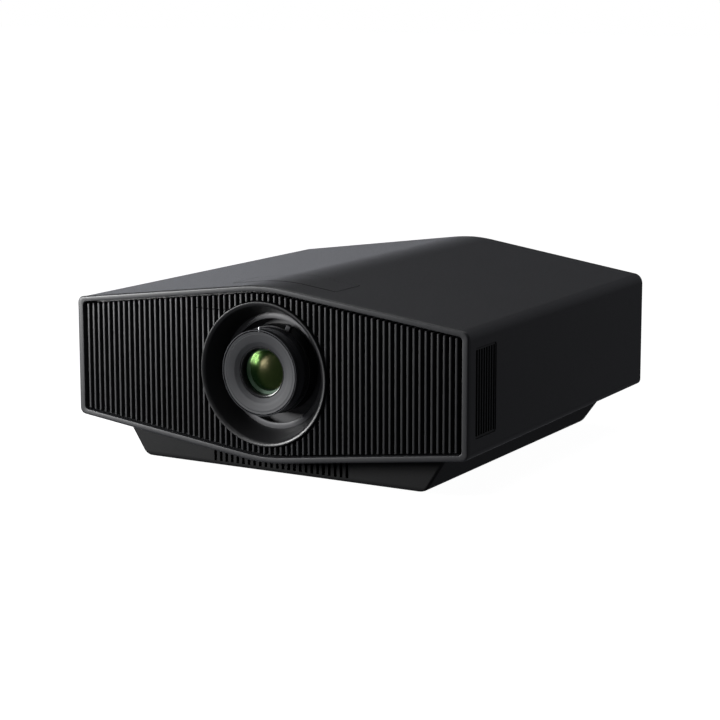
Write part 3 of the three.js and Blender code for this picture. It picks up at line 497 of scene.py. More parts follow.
def top_flap():
    skin = housing_shell(FLAP_WALL)
    cut(skin, along_z(flap_outline(0), FLAP_CUT_Z, FAR), operation="INTERSECT")
    cut(skin, block((-FAR, -FAR, -FAR), (FAR, FLAP_FRONT_Y + FLAP_RELIEF, FAR)))
    return bevel(skin, 0.2 * MM)


def flap_groove_shade_strip():
    """A black strip set just below the surface along the flap's front edge: painted shade, standing in for the
    shadow in the groove.
    """
    strip = housing_solid(0.1 * MM, COVER_FRONT_Y, FAR)
    half = FLAP_HALF_WIDTH - 4 * MM
    front = FLAP_FRONT_Y + 0.1 * MM
    back = FLAP_FRONT_Y + FLAP_RELIEF - 0.05 * MM
    cut(strip, block((-half, front, FLAP_CUT_Z), (half, back, FAR)), operation="INTERSECT")
    return cut(strip, housing_solid(FLAP_WALL, -FAR, 2 * FAR))


def keel():
    """The lower shell with the posts that carry the chassis plate."""
    shell = housing_shell()
    cut(shell, *[post(x, y) for x, y in BOTTOM_POSTS], operation="UNION")
    bevel(shell, COVER_EDGE, angle=50)
    cut(shell, block((-FAR, -FAR, COVER_SPLIT_Z - GAP), (FAR, FAR, FAR)))
    bake_modifiers(shell, weighted=True)
    return shell


def post(x, y):
    foot = RIDGE_BOTTOM_Z + BOTTOM_SLOPE * abs(x) + 1.5 * MM
    return ring_piece(5 * MM, foot, 50.6 * MM, (x, y, 0), 32)


def front_frame():
    """A flat band with softened edges and a flange behind it, as one ring swept through its section."""
    # Each point is (share of the band's width inwards, y).
    section = [
        (0.0, FRAME_BACK_Y), (0.0, FRONT_Y + 1.3 * MM),
        (0.05, FRONT_Y + 0.62 * MM), (0.13, FRONT_Y + 0.2 * MM), (0.24, FRONT_Y + 0.03 * MM), (0.32, FRONT_Y),
        (0.90, FRONT_Y), (0.95, FRONT_Y + 0.08 * MM), (0.985, FRONT_Y + 0.26 * MM), (1.0, FRONT_Y + 0.6 * MM),
        (1.0, FRAME_FLANGE_Y), (0.5, FRAME_FLANGE_Y), (0.5, FRAME_BACK_Y),
    ]
    loops = []
    for share, y in section:
        corner = FRAME_OUTER_CORNER + (FRAME_INNER_CORNER - FRAME_OUTER_CORNER) * share
        ridge = RIDGE_RADIUS - 30 * MM * share
        outline = hexagon(SIDE_BAND * share, TOP_BAND * share, BOTTOM_BAND * share, corner, corner, ridge, 10)
        loops.append([(x, y, z) for x, z in outline])
    return loft("frame_band", loops, closed=True, angle=50)


# ---- Grille pieces ----
def opening_top(x, inset):
    return RIDGE_TOP_Z - TOP_BAND - inset - TOP_SLOPE * soft_abs(x)


def opening_bottom(x, inset):
    return RIDGE_BOTTOM_Z + BOTTOM_BAND + inset + BOTTOM_SLOPE * soft_abs(x)


def soft_abs(x):
    """|x| with the soft roll of the ridge in the middle."""
    return abs(x) if abs(x) > RIDGE_ROLL else (x * x / RIDGE_ROLL + RIDGE_ROLL) / 2


def fin_section(deep_y):
    """The fin's plan outline: a rounded tip and a slight draft."""
    r = FIN_TIP_RADIUS
    half = FIN_WIDTH / 2
    points = [(-half + FIN_DRAFT, deep_y)]
    points += arc((-half + r, FIN_TIP_Y + r), r, 180, 270, 4)
    points += arc((half - r, FIN_TIP_Y + r), r, 270, 360, 4)
    points += [(half - FIN_DRAFT, deep_y)]
    return points


def fin(x, low, high, deep_y=FIN_BACK_Y):
    """A fin from low(x) to high(x), its ends rounded towards the tip."""
    section = fin_section(deep_y)
    loops = []
    for end, sign in ((low, 1), (high, -1)):
        rows = [(0.0, 0.5), (0.5, 0.0)] if sign > 0 else [(0.5, 0.0), (0.0, 0.5)]
        for rise, shy in rows:
            loop = []
            for u, y in section:
                deep = max(y, FIN_TIP_Y + shy * MM)
                loop.append((x + u, deep, end(x + u) + sign * rise * MM))
            loops.append(loop)
    return loft("fin", loops, angle=40)


def grille_fins():
    """The fins, parted round the lens recess, and the short window fins at the ridge."""
    ring = SHROUD_RADIUS + 0.7 * MM
    fins = []
    windows = []
    for i in range(-FINS_EACH_SIDE, FINS_EACH_SIDE + 1):
        x = i * FIN_PITCH
        top = lambda u: opening_top(u, FIN_END_INSET)
        bottom = lambda u: opening_bottom(u, FIN_END_INSET)
        in_window = IR_LO.x - FIN_PITCH / 2 < x < IR_HI.x + FIN_PITCH / 2
        fin_top = (lambda u: IR_LO.z - GAP) if in_window else top
        if abs(x) < ring - 1 * MM:
            reach = lambda u: math.sqrt(max(ring ** 2 - u ** 2, 0))
            fins.append(fin(x, bottom, lambda u: SHROUD_Z - reach(u)))
            fins.append(fin(x, lambda u: SHROUD_Z + reach(u), fin_top))
        else:
            fins.append(fin(x, bottom, fin_top))
        if in_window:
            windows.append(fin(x, lambda u: IR_LO.z, top, deep_y=IR_LO.y + 8 * MM))
    return fins, windows


def grille():
    """The fins on their rails: one round the opening, a collar round the recess and two bars."""
    fins, windows = grille_fins()
    y0, y1 = FIN_BACK_Y - 2 * MM, FIN_BACK_Y + 1 * MM
    loops = []
    for inset, y in ((GAP, y0), (RAIL_WIDTH, y0), (RAIL_WIDTH, y1), (GAP, y1)):
        outline = hexagon(SIDE_BAND + inset, TOP_BAND + inset, BOTTOM_BAND + inset, 2 * MM, 2 * MM, 180 * MM)
        loops.append([(x, y, z) for x, z in outline])
    inner, outer = SHROUD_RADIUS + 0.8 * MM, SHROUD_RADIUS + 6 * MM
    collar = [(inner, y0), (outer, y0), (outer, y1), (inner, y1)]
    rails = [loft("rail", loops, closed=True), lathe("collar", collar, (0, SHROUD_Z))]
    for side in (-1, 1):
        x0, x1 = sorted((side * (SHROUD_RADIUS + 3 * MM), side * (HALF_WIDTH - 10 * MM)))
        rails.append(block((x0, FIN_BACK_Y - 0.5 * MM, SHROUD_Z - 1.5 * MM), (x1, y1, SHROUD_Z + 1.5 * MM)))
    return join("grille_fins", fins + rails, 40), join("receiver_window", windows + [ir_plate()], 40)


def ir_plate():
    """The flat backing of the receiver window."""
    return block((IR_LO.x, IR_LO.y + 8.5 * MM, IR_LO.z), (IR_HI.x, IR_LO.y + 10.5 * MM, 187 * MM))


# ---- Lens recess pieces ----
def shroud():
    """The glossy cone: a small outer edge, a broad roll inwards, then the wall down to the floor."""
    r = SHROUD_RADIUS
    shoulder = r - CREST_EDGE
    profile = [(r, CREST_Y + 6 * MM)]
    profile += arc((shoulder, CREST_Y + CREST_EDGE), CREST_EDGE, 0, -90, 6)
    profile += arc((shoulder, CREST_Y + CREST_ROLL), CREST_ROLL, -90, -90 - ROLL_ANGLE, 18)[1:]
    start, depth = profile[-1]
    steps = 10
    for i in range(1, steps + 1):
        t = i / steps
        profile.append((start + (THROAT_RADIUS - start) * t, depth + (SHROUD_FLOOR_Y - depth) * t))
    profile += [
        (THROAT_RADIUS, SHROUD_FLOOR_Y + 2 * MM), (THROAT_RADIUS + 2 * MM, SHROUD_FLOOR_Y + 2 * MM),
        (r, CREST_Y + 9 * MM),
    ]
    return lathe("recess_cone", profile, (0, SHROUD_Z), 192, angle=40)


def shroud_floor():
    """The flat ring at the bottom of the cone, with a softened inner edge."""
    y = SHROUD_FLOOR_Y
    outer = THROAT_RADIUS - 0.1 * MM
    profile = [
        (outer, y + 1.9 * MM), (outer, y + 0.3 * MM), (outer - 0.4 * MM, y), (HOLE_RADIUS + 0.8 * MM, y),
        (HOLE_RADIUS + 0.25 * MM, y + 0.2 * MM), (HOLE_RADIUS, y + 0.7 * MM), (HOLE_RADIUS, y + 1.9 * MM),
    ]
    return lathe("recess_floor", profile, (0, SHROUD_Z), 192, angle=50)


# ---- Lens pieces ----
def focus_ring():
    """The ring at the front of the lens, with a small lip round the face."""
    r = FOCUS_RADIUS
    y0, y1 = LENS_FRONT_Y, FOCUS_HI.y
    inner = r - 1.4 * MM
    profile = [
        (inner, y0 + 1.0 * MM), (r - 1.05 * MM, y0 + 0.1 * MM), (r - 0.9 * MM, y0), (r - 0.45 * MM, y0),
        (r - 0.15 * MM, y0 + 0.15 * MM), (r, y0 + 0.5 * MM), (r, y0 + 5 * MM),
    ]
    # Fine grip grooves round the ring, turned rather than cut along it.
    for i in range(GRIP_GROOVES):
        g = y0 + 5.6 * MM + i * GRIP_GROOVE_PITCH
        profile += [(r, g), (r - 0.45 * MM, g + 0.25 * MM), (r - 0.45 * MM, g + 0.75 * MM), (r, g + 1.0 * MM)]
    profile += [(r, y1 - 0.3 * MM), (r - 0.3 * MM, y1), (inner, y1)]
    return lathe("focus_grip", profile, (0, LENS_Z), 160, angle=25)


def face_ring():
    """The dished face: a turned groove near the rim, then the steeper stepped funnel to the retainer."""
    y = FACE_Y
    rim = LENS_INNER_RADIUS
    groove = rim - 2.4 * MM
    profile = [(rim, y + 7 * MM), (rim, y + 0.3 * MM), (rim - 0.3 * MM, y)]
    profile += [(groove, y + 0.3 * MM), (groove - 0.15 * MM, y + 0.5 * MM)]
    profile += [(groove - 0.5 * MM, y + 0.52 * MM), (groove - 0.7 * MM, y + 0.42 * MM)]
    dish = y + FACE_DISH
    profile += [(FUNNEL_RADIUS + 0.5 * MM, dish - 0.05 * MM), (FUNNEL_RADIUS, dish + 0.1 * MM)]
    steps = 6
    for i in range(1, steps + 1):
        t = i / steps
        radius = FUNNEL_RADIUS + (MOUTH_RADIUS - FUNNEL_RADIUS) * t
        deep = dish + FUNNEL_DEPTH * t
        profile += [(radius + 0.12 * MM, deep), (radius, deep + 0.12 * MM)]
    profile += [(MOUTH_RADIUS, y + 7 * MM)]
    return lathe("lens_face", profile, (0, LENS_Z), 160, angle=20)


def retainer():
    """The black ring that holds the front element, with two fine steps."""
    y = LENS_FRONT_Y
    outer, inner = RETAINER_RADIUS, RETAINER_BORE
    profile = [
        (outer, y + 12 * MM), (outer, y + 5.5 * MM),
        (outer - 0.25 * MM, y + 5.2 * MM), (outer - 0.8 * MM, y + 5.2 * MM),
        (outer - 1.0 * MM, y + 5.5 * MM), (outer - 1.05 * MM, y + 6.3 * MM), (outer - 1.3 * MM, y + 6.4 * MM),
        (outer - 1.7 * MM, y + 6.5 * MM), (outer - 1.9 * MM, y + 6.8 * MM), (inner + 0.2 * MM, y + 8.4 * MM),
        (inner, y + 8.8 * MM), (inner, y + 12 * MM),
    ]
    return lathe("retainer_ring", profile, (0, LENS_Z), 160, angle=20)


def cap_profile(radius, edge_y, crown, steps=28):
    """Half of a spherical cap from the axis out to its edge."""
    curve = (radius ** 2 + crown ** 2) / (2 * crown)
    points = []
    for i in range(steps + 1):
        r = radius * i / steps
        sag = curve - math.sqrt(curve ** 2 - r ** 2)
        points.append((r, edge_y - (crown - sag)))
    return points


def element(name, radius, edge_y, crown, thickness):
    """A lens with a convex front and a back that is almost flat."""
    profile = cap_profile(radius, edge_y, crown)
    profile += [(radius, edge_y + thickness)]
    back = cap_profile(radius - 0.6 * MM, edge_y + thickness, 0.01 * MM)
    return lathe(name, profile + back[::-1], (0, LENS_Z), 128, angle=40)


def front_glass():
    return element("front_element", GLASS_HI.x, GLASS_LO.y + FRONT_CROWN, FRONT_CROWN, 3.2 * MM)


def second_glass():
    return element("second_element", SECOND_RADIUS, GLASS_LO.y + 14.5 * MM, SECOND_CROWN, 2 * MM)


def lens_seat():
    """The pale ring right behind the front element; its bright mint colour is a painted reflection of the lens
    coating.
    """
    y = GLASS_LO.y
    r = BARREL_RADIUS
    profile = [
        (r, y + 10.6 * MM), (r, y + 7.4 * MM), (r - 0.5 * MM, y + 7.4 * MM), (r - 0.8 * MM, y + 7.7 * MM),
        (r - 2.5 * MM, y + 10.3 * MM), (r - 2.5 * MM, y + 10.6 * MM),
    ]
    return lathe("element_seat", profile, (0, LENS_Z), 128, angle=25)


def inner_barrel():
    """The black barrel between the two elements, with a fine step."""
    y = GLASS_LO.y
    r = BARREL_RADIUS
    bore = SECOND_RADIUS + 0.05 * MM
    profile = [
        (r, y + 20 * MM), (r, y + 10.8 * MM), (r - 2.3 * MM, y + 10.8 * MM), (r - 2.7 * MM, y + 11.2 * MM),
        (r - 2.8 * MM, y + 12.4 * MM), (r - 3.2 * MM, y + 12.7 * MM),
        (bore + 0.25 * MM, y + 14.2 * MM), (bore, y + 14.4 * MM), (bore, y + 20 * MM),
    ]
    return lathe("inner_barrel", profile, (0, LENS_Z), 128, angle=25)


def index_pin():
    """A short pin with a domed end."""
    lo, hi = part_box("focus_pin")
    centre = (lo + hi) / 2
    r = (hi.x - lo.x) / 2
    profile = [(0, -3 * r), (r, -3 * r), (r, -0.2 * r)]
    dome = 1.05 * r
    for i in range(6):
        a = math.radians(15 * i)
        profile.append((r * math.cos(a), dome * math.sin(a)))
    return turned_piece("index_pin", "z", profile + [(0, dome)], (centre.x, centre.y, hi.z - dome), 40)


def zoom_grip():
    """The plain ring behind the focus ring and its short lever."""
    lo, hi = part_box("zoom_ring")
    inner, outer = LENS_INNER_RADIUS, ZOOM_RADIUS
    ring = lathe("zoom_grip", [
        (inner, lo.y), (outer - 0.4 * MM, lo.y), (outer, lo.y + 0.4 * MM), (outer, hi.y - 0.4 * MM),
        (outer - 0.4 * MM, hi.y), (inner, hi.y),
    ], (0, LENS_Z), 128)
    foot = rectangle((-3 * MM, 3 * MM), (lo.y + 0.3 * MM, lo.y + 5.3 * MM), 1.2 * MM)
    lever = bevel(along_z(foot, outer - 1.4 * MM, outer + 5.4 * MM), 0.6 * MM, 3)
    turn = Matrix.Rotation(math.radians(ZOOM_LEVER_ANGLE), 4, "Y")
    moved(lever, Matrix.Translation((0, 0, LENS_Z)) @ turn)
    return join("zoom_grip", [ring, lever])


def skirt():
    """The dull flange that closes the gap round the lens, on its sleeve."""
    lo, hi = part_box("lens_skirt")
    outer = hi.x
    inner = LENS_INNER_RADIUS
    sleeve = inner + 3.6 * MM
    profile = [
        (outer, lo.y + 0.4 * MM), (outer - 0.4 * MM, lo.y), (inner, lo.y), (inner, hi.y), (sleeve, hi.y),
        (sleeve, lo.y + 2.2 * MM), (sleeve + 0.7 * MM, lo.y + 1.5 * MM), (outer - 0.4 * MM, lo.y + 1.5 * MM),
        (outer, lo.y + 1.1 * MM),
    ]
    return lathe("dust_skirt", profile, (0, LENS_Z))


# ---- Base and feet pieces ----
def base_form(inset, z0, rounding):
    """The base's tapered block with a rounded lower edge."""
    loops = []
    steps = 6
    levels = []
    for i in range(steps + 1):
        a = math.radians(90 * i / steps)
        levels.append((z0 + rounding * (1 - math.cos(a)), rounding * (1 - math.sin(a))))
    levels.append((BASE_TOP_Z, 0))
    for z, draw in levels:
        half = BASE_HALF_WIDTH - inset - draw + BASE_SIDE_SLOPE * (z - BASE_Z)
        front = BASE_FRONT_Y + inset + draw * 0.3
        back = BASE_BACK_Y - inset - draw + BASE_BACK_SLOPE * (z - BASE_Z)
        outline = rectangle((-half, half), (front, back), 3.5 * MM, 6)
        loops.append([(x, y, z) for x, y in outline])
    return loft("base_form", loops)


def base_tray():
    """The hollow base with foot bosses, mounting bosses and the row of front slots."""
    tray = base_form(0, BASE_Z, 5 * MM)
    cut(tray, base_form(WALL, BASE_Z + 2.5 * MM, 3 * MM))
    extras = []
    holes = [along_y(hexagon(-GAP, -GAP, -GAP, 5 * MM, 5 * MM), -FAR, FAR)]
    for x in (-FOOT_X, FOOT_X):
        extras.append(ring_piece(9 * MM, BASE_Z, 18 * MM, (x, FRONT_FOOT_Y, 0)))
        holes.append(ring_piece(5.5 * MM, -0.1, 0.1, (x, FRONT_FOOT_Y, 0)))
    for x, y in BOSS_PLACES:
        extras.append(ring_piece(9 * MM, 3 * MM, 14 * MM, (x, y, 0)))
        holes.append(ring_piece(2.5 * MM, -0.1, 12 * MM, (x, y, 0)))
    for i in range(BASE_SLOT_COUNT):
        x = (i - (BASE_SLOT_COUNT - 1) / 2) * BASE_SLOT_PITCH
        top = RIDGE_BOTTOM_Z + BOTTOM_SLOPE * abs(x) - 2.5 * MM
        half = BASE_SLOT_WIDTH / 2
        holes.append(block((x - half, -FAR, BASE_SLOT_LOW_Z), (x + half, BASE_FRONT_Y + 6 * MM, top)))
    cut(tray, *extras, operation="UNION")
    cut(tray, *holes)
    return bevel(tray, 0.35 * MM, 2, 45)


def ring_piece(radius, low, high, centre, segments=48):
    """A plain upright round, used only to join to or cut from another piece."""
    return turned_piece("round", "z", [(0, low), (radius, low), (radius, high), (0, high)], centre, segments)


def foot_stem(node):
    """A zinc screw: fine thread rings down to the pad."""
    lo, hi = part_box(node)
    r = (hi.x - lo.x) / 2
    core = r - THREAD_DEPTH
    profile = [(0, lo.z), (core, lo.z)]
    z = lo.z + 1 * MM
    while z + THREAD_PITCH < hi.z - 1 * MM:
        profile += [(core, z), (r, z + THREAD_PITCH * 0.4), (r, z + THREAD_PITCH * 0.6)]
        z += THREAD_PITCH
    profile += [(core, z), (core, hi.z - 0.6 * MM), (core - 0.6 * MM, hi.z), (0, hi.z)]
    return turned_piece(node + "_screw", "z", profile, ((lo.x + hi.x) / 2, (lo.y + hi.y) / 2, 0), 48, 20)


def foot_pad(node, teeth):
    """A rubber pad with a ribbed edge."""
    lo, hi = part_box(node)
    r = (hi.x - lo.x) / 2
    centre = ((lo.x + hi.x) / 2, (lo.y + hi.y) / 2, 0)
    return knurled(node + "_pad", "z", r, teeth, 0.35 * MM, (lo.z, hi.z), centre, 0.6 * MM)


# ---- Adjuster dials, keys and sockets ----
def dial(node, axis):
    """A knurled thumb wheel."""
    lo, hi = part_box(node)
    centre = (lo + hi) / 2
    half = (hi.x - lo.x) / 2 if axis == "x" else (hi.y - lo.y) / 2
    radius = (hi.z - lo.z) / 2
    return knurled(node + "_wheel", axis, radius, 40, 0.5 * MM, (-half, half), centre, 0.8 * MM)


def key_cap(node):
    """A round cap with a softly dished face and the collar behind it."""
    lo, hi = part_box(node)
    y, z = (lo.y + hi.y) / 2, (lo.z + hi.z) / 2
    r = 3.5 * MM
    collar = (hi.z - lo.z) / 2
    profile = [(0, 0.25 * MM)]
    profile += [(r * 0.75 * i / 6, 0.25 * MM * (1 - (i / 6) ** 2)) for i in range(1, 7)]
    profile += [(r - 0.35 * MM, 0), (r - 0.1 * MM, 0.12 * MM), (r, 0.4 * MM)]
    profile += [(r, 3.9 * MM), (collar, 3.9 * MM), (collar, hi.x - lo.x), (0, hi.x - lo.x)]
    return turned_piece(node + "_cap", "x", profile, (lo.x, y, z), 48, 35)


def flat_socket_parts(name, thick, lift, contacts):
    """The tongue of a flat socket and the row of contacts on its lower side."""
    lo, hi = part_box(name)
    mid = (lo + hi) / 2
    reach = (hi.y - lo.y) / 2 - 2.2 * MM
    height = mid.z + lift
    low = (lo.x + 3 * MM, mid.y - reach, height - thick)
    high = (lo.x + 11.5 * MM, mid.y + reach, height + thick)
    row = []
    for i in range(contacts):
        y = mid.y + (i - (contacts - 1) / 2) * 2 * reach / (contacts + 0.5)
        z = height - thick
        near = (lo.x + 3.4 * MM, y - 0.3 * MM, z - 0.12 * MM)
        row.append(block(near, (lo.x + 10 * MM, y + 0.3 * MM, z + 0.1 * MM)))
    return bevel(block(low, high), 0.2 * MM), row


def lan_contacts():
    lo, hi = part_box("lan_socket")
    row = []
    for i in range(8):
        y = (lo.y + hi.y) / 2 + (i - 3.5) * 1.02 * MM
        near = (lo.x + 4 * MM, y - 0.2 * MM, hi.z - 4.4 * MM)
        row.append(block(near, (lo.x + 13.2 * MM, y + 0.2 * MM, hi.z - 4.0 * MM)))
    return row


def serial_parts():
    """The insulator of the nine-pin socket and its two rows of pins."""
    lo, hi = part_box("serial_socket")
    mid = (lo + hi) / 2
    inset = 1.6 * MM
    outline = rectangle((lo.y + inset, hi.y - inset), (lo.z + inset, hi.z - inset), 1 * MM)
    body = bevel(along_x(outline, lo.x + 2.5 * MM, lo.x + 6.5 * MM), 0.2 * MM)
    profile = [(0, 0), (0.4 * MM, 0.3 * MM), (0.5 * MM, 0.7 * MM), (0.5 * MM, 3 * MM), (0, 3 * MM)]
    pins = []
    for row, count in ((1.4 * MM, 5), (-1.4 * MM, 4)):
        for i in range(count):
            y = mid.y + (i - (count - 1) / 2) * 2.7 * MM
            pins.append(turned_piece("pin", "x", profile, (lo.x + 0.6 * MM, y, mid.z + row), 16))
    return body, pins


def inlet_blades():
    lo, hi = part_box("power_inlet")
    mid = (lo + hi) / 2
    blades = []
    for y, z in ((-7 * MM, -2 * MM), (7 * MM, -2 * MM), (0, 3 * MM)):
        low = (lo.x + 3 * MM, mid.y + y - 1 * MM, mid.z + z - 2 * MM)
        high = (lo.x + 16.5 * MM, mid.y + y + 1 * MM, mid.z + z + 2 * MM)
        blades.append(bevel(block(low, high), 0.4 * MM))
    return blades


def socket_details():
    """Tongues, contacts and pins inside the sockets, all on the housing."""
    tongues = []
    metal = []
    for name, thick, lift, contacts in (
        ("hdmi_socket_1", 0.9 * MM, 0, 9),
        ("hdmi_socket_2", 0.9 * MM, 0, 9),
        ("usb_socket", 1.1 * MM, 1.2 * MM, 4),
    ):
        tongue, row = flat_socket_parts(name, thick, lift, contacts)
        tongues.append(tongue)
        metal += row
    metal += lan_contacts()
    body, pins = serial_parts()
    tongues.append(body)
    metal += pins + inlet_blades()
    return join("socket_tongues", tongues), join("socket_contacts", metal)


# ---- Materials ----
def new_material(name):
    material = bpy.data.materials.new(name)
    material.use_nodes = True
    nodes = material.node_tree.nodes
    links = material.node_tree.links
    return material, nodes, links, nodes["Principled BSDF"]


def noise(nodes, links, scale, detail=2.0, roughness=0.5):
    coords = nodes.new("ShaderNodeTexCoord")
    texture = nodes.new("ShaderNodeTexNoise")
    texture.inputs["Scale"].default_value = scale
    texture.inputs["Detail"].default_value = detail
    texture.inputs["Roughness"].default_value = roughness
    links.new(coords.outputs["Object"], texture.inputs["Vector"])
    return texture


def ramp(nodes, links, source, low, high, start=0.0, end=1.0):
    """A number that runs from low to high as source runs from start to end."""
    node = nodes.new("ShaderNodeMapRange")
    node.inputs["From Min"].default_value = start
    node.inputs["From Max"].default_value = end
    node.inputs["To Min"].default_value = low
    node.inputs["To Max"].default_value = high
    links.new(source, node.inputs["Value"])
    return node.outputs["Result"]


def mixed(nodes, links, factor, dark, light):
    node = nodes.new("ShaderNodeMix")
    node.data_type = "RGBA"
    node.inputs[6].default_value = (*dark, 1)
    node.inputs[7].default_value = (*light, 1)
    links.new(factor, node.inputs[0])
    return node.outputs[2]


def combined(nodes, links, operation, first, second):
    """Two linked numbers joined by a maths node."""
    node = nodes.new("ShaderNodeMath")
    node.operation = operation
    links.new(first, node.inputs[0])
    links.new(second, node.inputs[1])
    return node.outputs[0]


def vector_maths(nodes, links, operation, source, value):
    """A maths node of a linked vector and a fixed one."""
    node = nodes.new("ShaderNodeVectorMath")
    node.operation = operation
    node.inputs[1].default_value = value
    links.new(source, node.inputs[0])
    return node


def add_bump(nodes, links, shader, height, depth):
    bump = nodes.new("ShaderNodeBump")
    bump.inputs["Distance"].default_value = depth
    links.new(height, bump.inputs["Height"])
    links.new(bump.outputs["Normal"], shader.inputs["Normal"])


def moulded(name, colour, roughness, grain_scale, grain_depth, spread=0.08, specular=0.5):
    """Moulded plastic: a fine grain, slow cloudiness, and edges rubbed slightly lighter and smoother."""
    material, nodes, links, shader = new_material(name)
    shader.inputs["Specular IOR Level"].default_value = specular
    cloud = noise(nodes, links, 14, 3)
    grain = noise(nodes, links, grain_scale, 2, 0.6)
    edge = edge_wear(nodes, links)
    base = mixed(nodes, links, ramp(nodes, links, cloud.outputs["Fac"], 0, 1, 0.35, 0.65),
                 [c * 0.93 for c in colour], [c * 1.07 for c in colour])
    worn = nodes.new("ShaderNodeMix")
    worn.data_type = "RGBA"
    worn.inputs[7].default_value = (*[min(c * 1.5 + 0.006, 1) for c in colour], 1)
    links.new(base, worn.inputs[6])
    links.new(edge, worn.inputs[0])
    links.new(worn.outputs[2], shader.inputs["Base Color"])
    rough = ramp(nodes, links, grain.outputs["Fac"], roughness - spread, roughness + spread, 0.3, 0.7)
    soften = nodes.new("ShaderNodeMath")
    soften.operation = "MULTIPLY_ADD"
    links.new(edge, soften.inputs[0])
    soften.inputs[1].default_value = -WEAR_POLISH
    links.new(rough, soften.inputs[2])
    links.new(soften.outputs[0], shader.inputs["Roughness"])
    add_bump(nodes, links, shader, grain.outputs["Fac"], grain_depth)
    return material


def edge_wear(nodes, links):
    """0 on open faces, up to 1 on sharp edges, broken up by noise."""
    bevelled = nodes.new("ShaderNodeBevel")
    bevelled.samples = 4
    bevelled.inputs["Radius"].default_value = WEAR_RADIUS
    geometry = nodes.new("ShaderNodeNewGeometry")
    dot = nodes.new("ShaderNodeVectorMath")
    dot.operation = "DOT_PRODUCT"
    links.new(bevelled.outputs["Normal"], dot.inputs[0])
    links.new(geometry.outputs["Normal"], dot.inputs[1])
    mask = ramp(nodes, links, dot.outputs["Value"], 0.55, 0.0, 0.8, 0.99)
    breakup = noise(nodes, links, 220, 3)
    patches = ramp(nodes, links, breakup.outputs["Fac"], 0.3, 1.0, 0.4, 0.6)
    return combined(nodes, links, "MULTIPLY", mask, patches)


def turned_metal(name, colour, roughness, metallic, ring_scale=900, centre=(0, 0)):
    """Metal or turned plastic with fine rings round an axis along Y."""
    material, nodes, links, shader = new_material(name)
    shader.inputs["Metallic"].default_value = metallic
    coords = nodes.new("ShaderNodeTexCoord")
    middle = (centre[0], 0, centre[1])
    shift = vector_maths(nodes, links, "SUBTRACT", coords.outputs["Object"], middle)
    flat = vector_maths(nodes, links, "MULTIPLY", shift.outputs[0], (1, 0, 1))
    length = nodes.new("ShaderNodeVectorMath")
    length.operation = "LENGTH"
    links.new(flat.outputs[0], length.inputs[0])
    combine = nodes.new("ShaderNodeCombineXYZ")
    links.new(length.outputs["Value"], combine.inputs[0])
    rings = nodes.new("ShaderNodeTexNoise")
    rings.inputs["Scale"].default_value = ring_scale
    rings.inputs["Detail"].default_value = 2
    links.new(combine.outputs[0], rings.inputs["Vector"])
    cloud = noise(nodes, links, 60, 3)
    base = mixed(nodes, links, ramp(nodes, links, cloud.outputs["Fac"], 0, 1, 0.35, 0.65),
                 [c * 0.92 for c in colour], [c * 1.08 for c in colour])
    links.new(base, shader.inputs["Base Color"])
    rough = ramp(nodes, links, rings.outputs["Fac"], roughness - 0.07, roughness + 0.07, 0.3, 0.7)
    links.new(rough, shader.inputs["Roughness"])
    add_bump(nodes, links, shader, rings.outputs["Fac"], 0.01 * MM)
    return material


def lens_glass(name, body, tint, specular, cover, roughness, smear_scale, smear_shade):
    """A coated element: a dark body with reflections in the coating's tint, faintly smeared. The deep element's
    olive body colour is a painted glow.
    """
    material, nodes, links, shader = new_material(name)
    shader.inputs["Specular IOR Level"].default_value = specular
    shader.inputs["Specular Tint"].default_value = (*tint, 1)
    shader.inputs["Alpha"].default_value = cover
    smear = noise(nodes, links, smear_scale, 2)
    base = mixed(nodes, links, smear.outputs["Fac"], [c * smear_shade for c in body], body)
    links.new(base, shader.inputs["Base Color"])
    links.new(ramp(nodes, links, smear.outputs["Fac"], *roughness, 0.4, 0.7), shader.inputs["Roughness"])
    return material


def paint(obj, material):
    obj.data.materials.clear()
    obj.data.materials.append(material)


def dress(name, material):
    """Gives a carried-over CAD node its finish."""
    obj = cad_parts[name]
    if obj.material_slots:
        for slot in obj.material_slots:
            slot.material = material
    else:
        obj.data.materials.append(material)


COVER = moulded("cover_finish", (0.0105, 0.0108, 0.0124), 0.42, 1500, 0.012 * MM)
FRAME = moulded("frame_finish", (0.0215, 0.0221, 0.0245), 0.40, 1500, 0.010 * MM)
FINS = moulded("fin_finish", (0.0165, 0.0168, 0.0185), 0.38, 1500, 0.008 * MM)
BASE = moulded("base_finish", (0.006, 0.0062, 0.0067), 0.6, 900, 0.03 * MM, specular=0.22)
REAR = moulded("rear_finish", (0.011, 0.0112, 0.012), 0.55, 900, 0.03 * MM)
VENT = moulded("vent_finish", (0.008, 0.0081, 0.0087), 0.5, 900, 0.02 * MM)
INNER = moulded("inner_finish", (0.006, 0.006, 0.0063), 0.6, 900, 0.02 * MM)
GLOSS = moulded("recess_finish", (0.011, 0.011, 0.012), 0.36, 600, 0.002 * MM, spread=0.03)
WINDOW = moulded("window_finish", (0.0145, 0.0147, 0.016), 0.3, 600, 0.001 * MM, spread=0.03)
KEY = moulded("key_finish", (0.02, 0.02, 0.022), 0.45, 1800, 0.01 * MM)
RUBBER = moulded("rubber_finish", (0.012, 0.012, 0.012), 0.8, 1200, 0.05 * MM, specular=0.3)
SKIRT = moulded("skirt_finish", (0.055, 0.055, 0.058), 0.6, 1200, 0.02 * MM)
GRIP = turned_metal("grip_finish", (0.035, 0.036, 0.04), 0.42, 0.5, centre=(0, LENS_Z))
FACE = turned_metal("face_finish", (0.031, 0.032, 0.0355), 0.6, 0.15, centre=(0, LENS_Z))
BARREL = turned_metal("barrel_finish", (0.02, 0.02, 0.022), 0.5, 0.5, centre=(0, LENS_Z))
BAFFLE = turned_metal("baffle_finish", (0.006, 0.006, 0.007), 0.4, 0.2, centre=(0, LENS_Z))
RETAINER = turned_metal("retainer_finish", (0.015, 0.015, 0.016), 0.22, 0.1, centre=(0, LENS_Z))
BRASS = turned_metal("contact_finish", (0.6, 0.45, 0.2), 0.3, 1.0, 60)
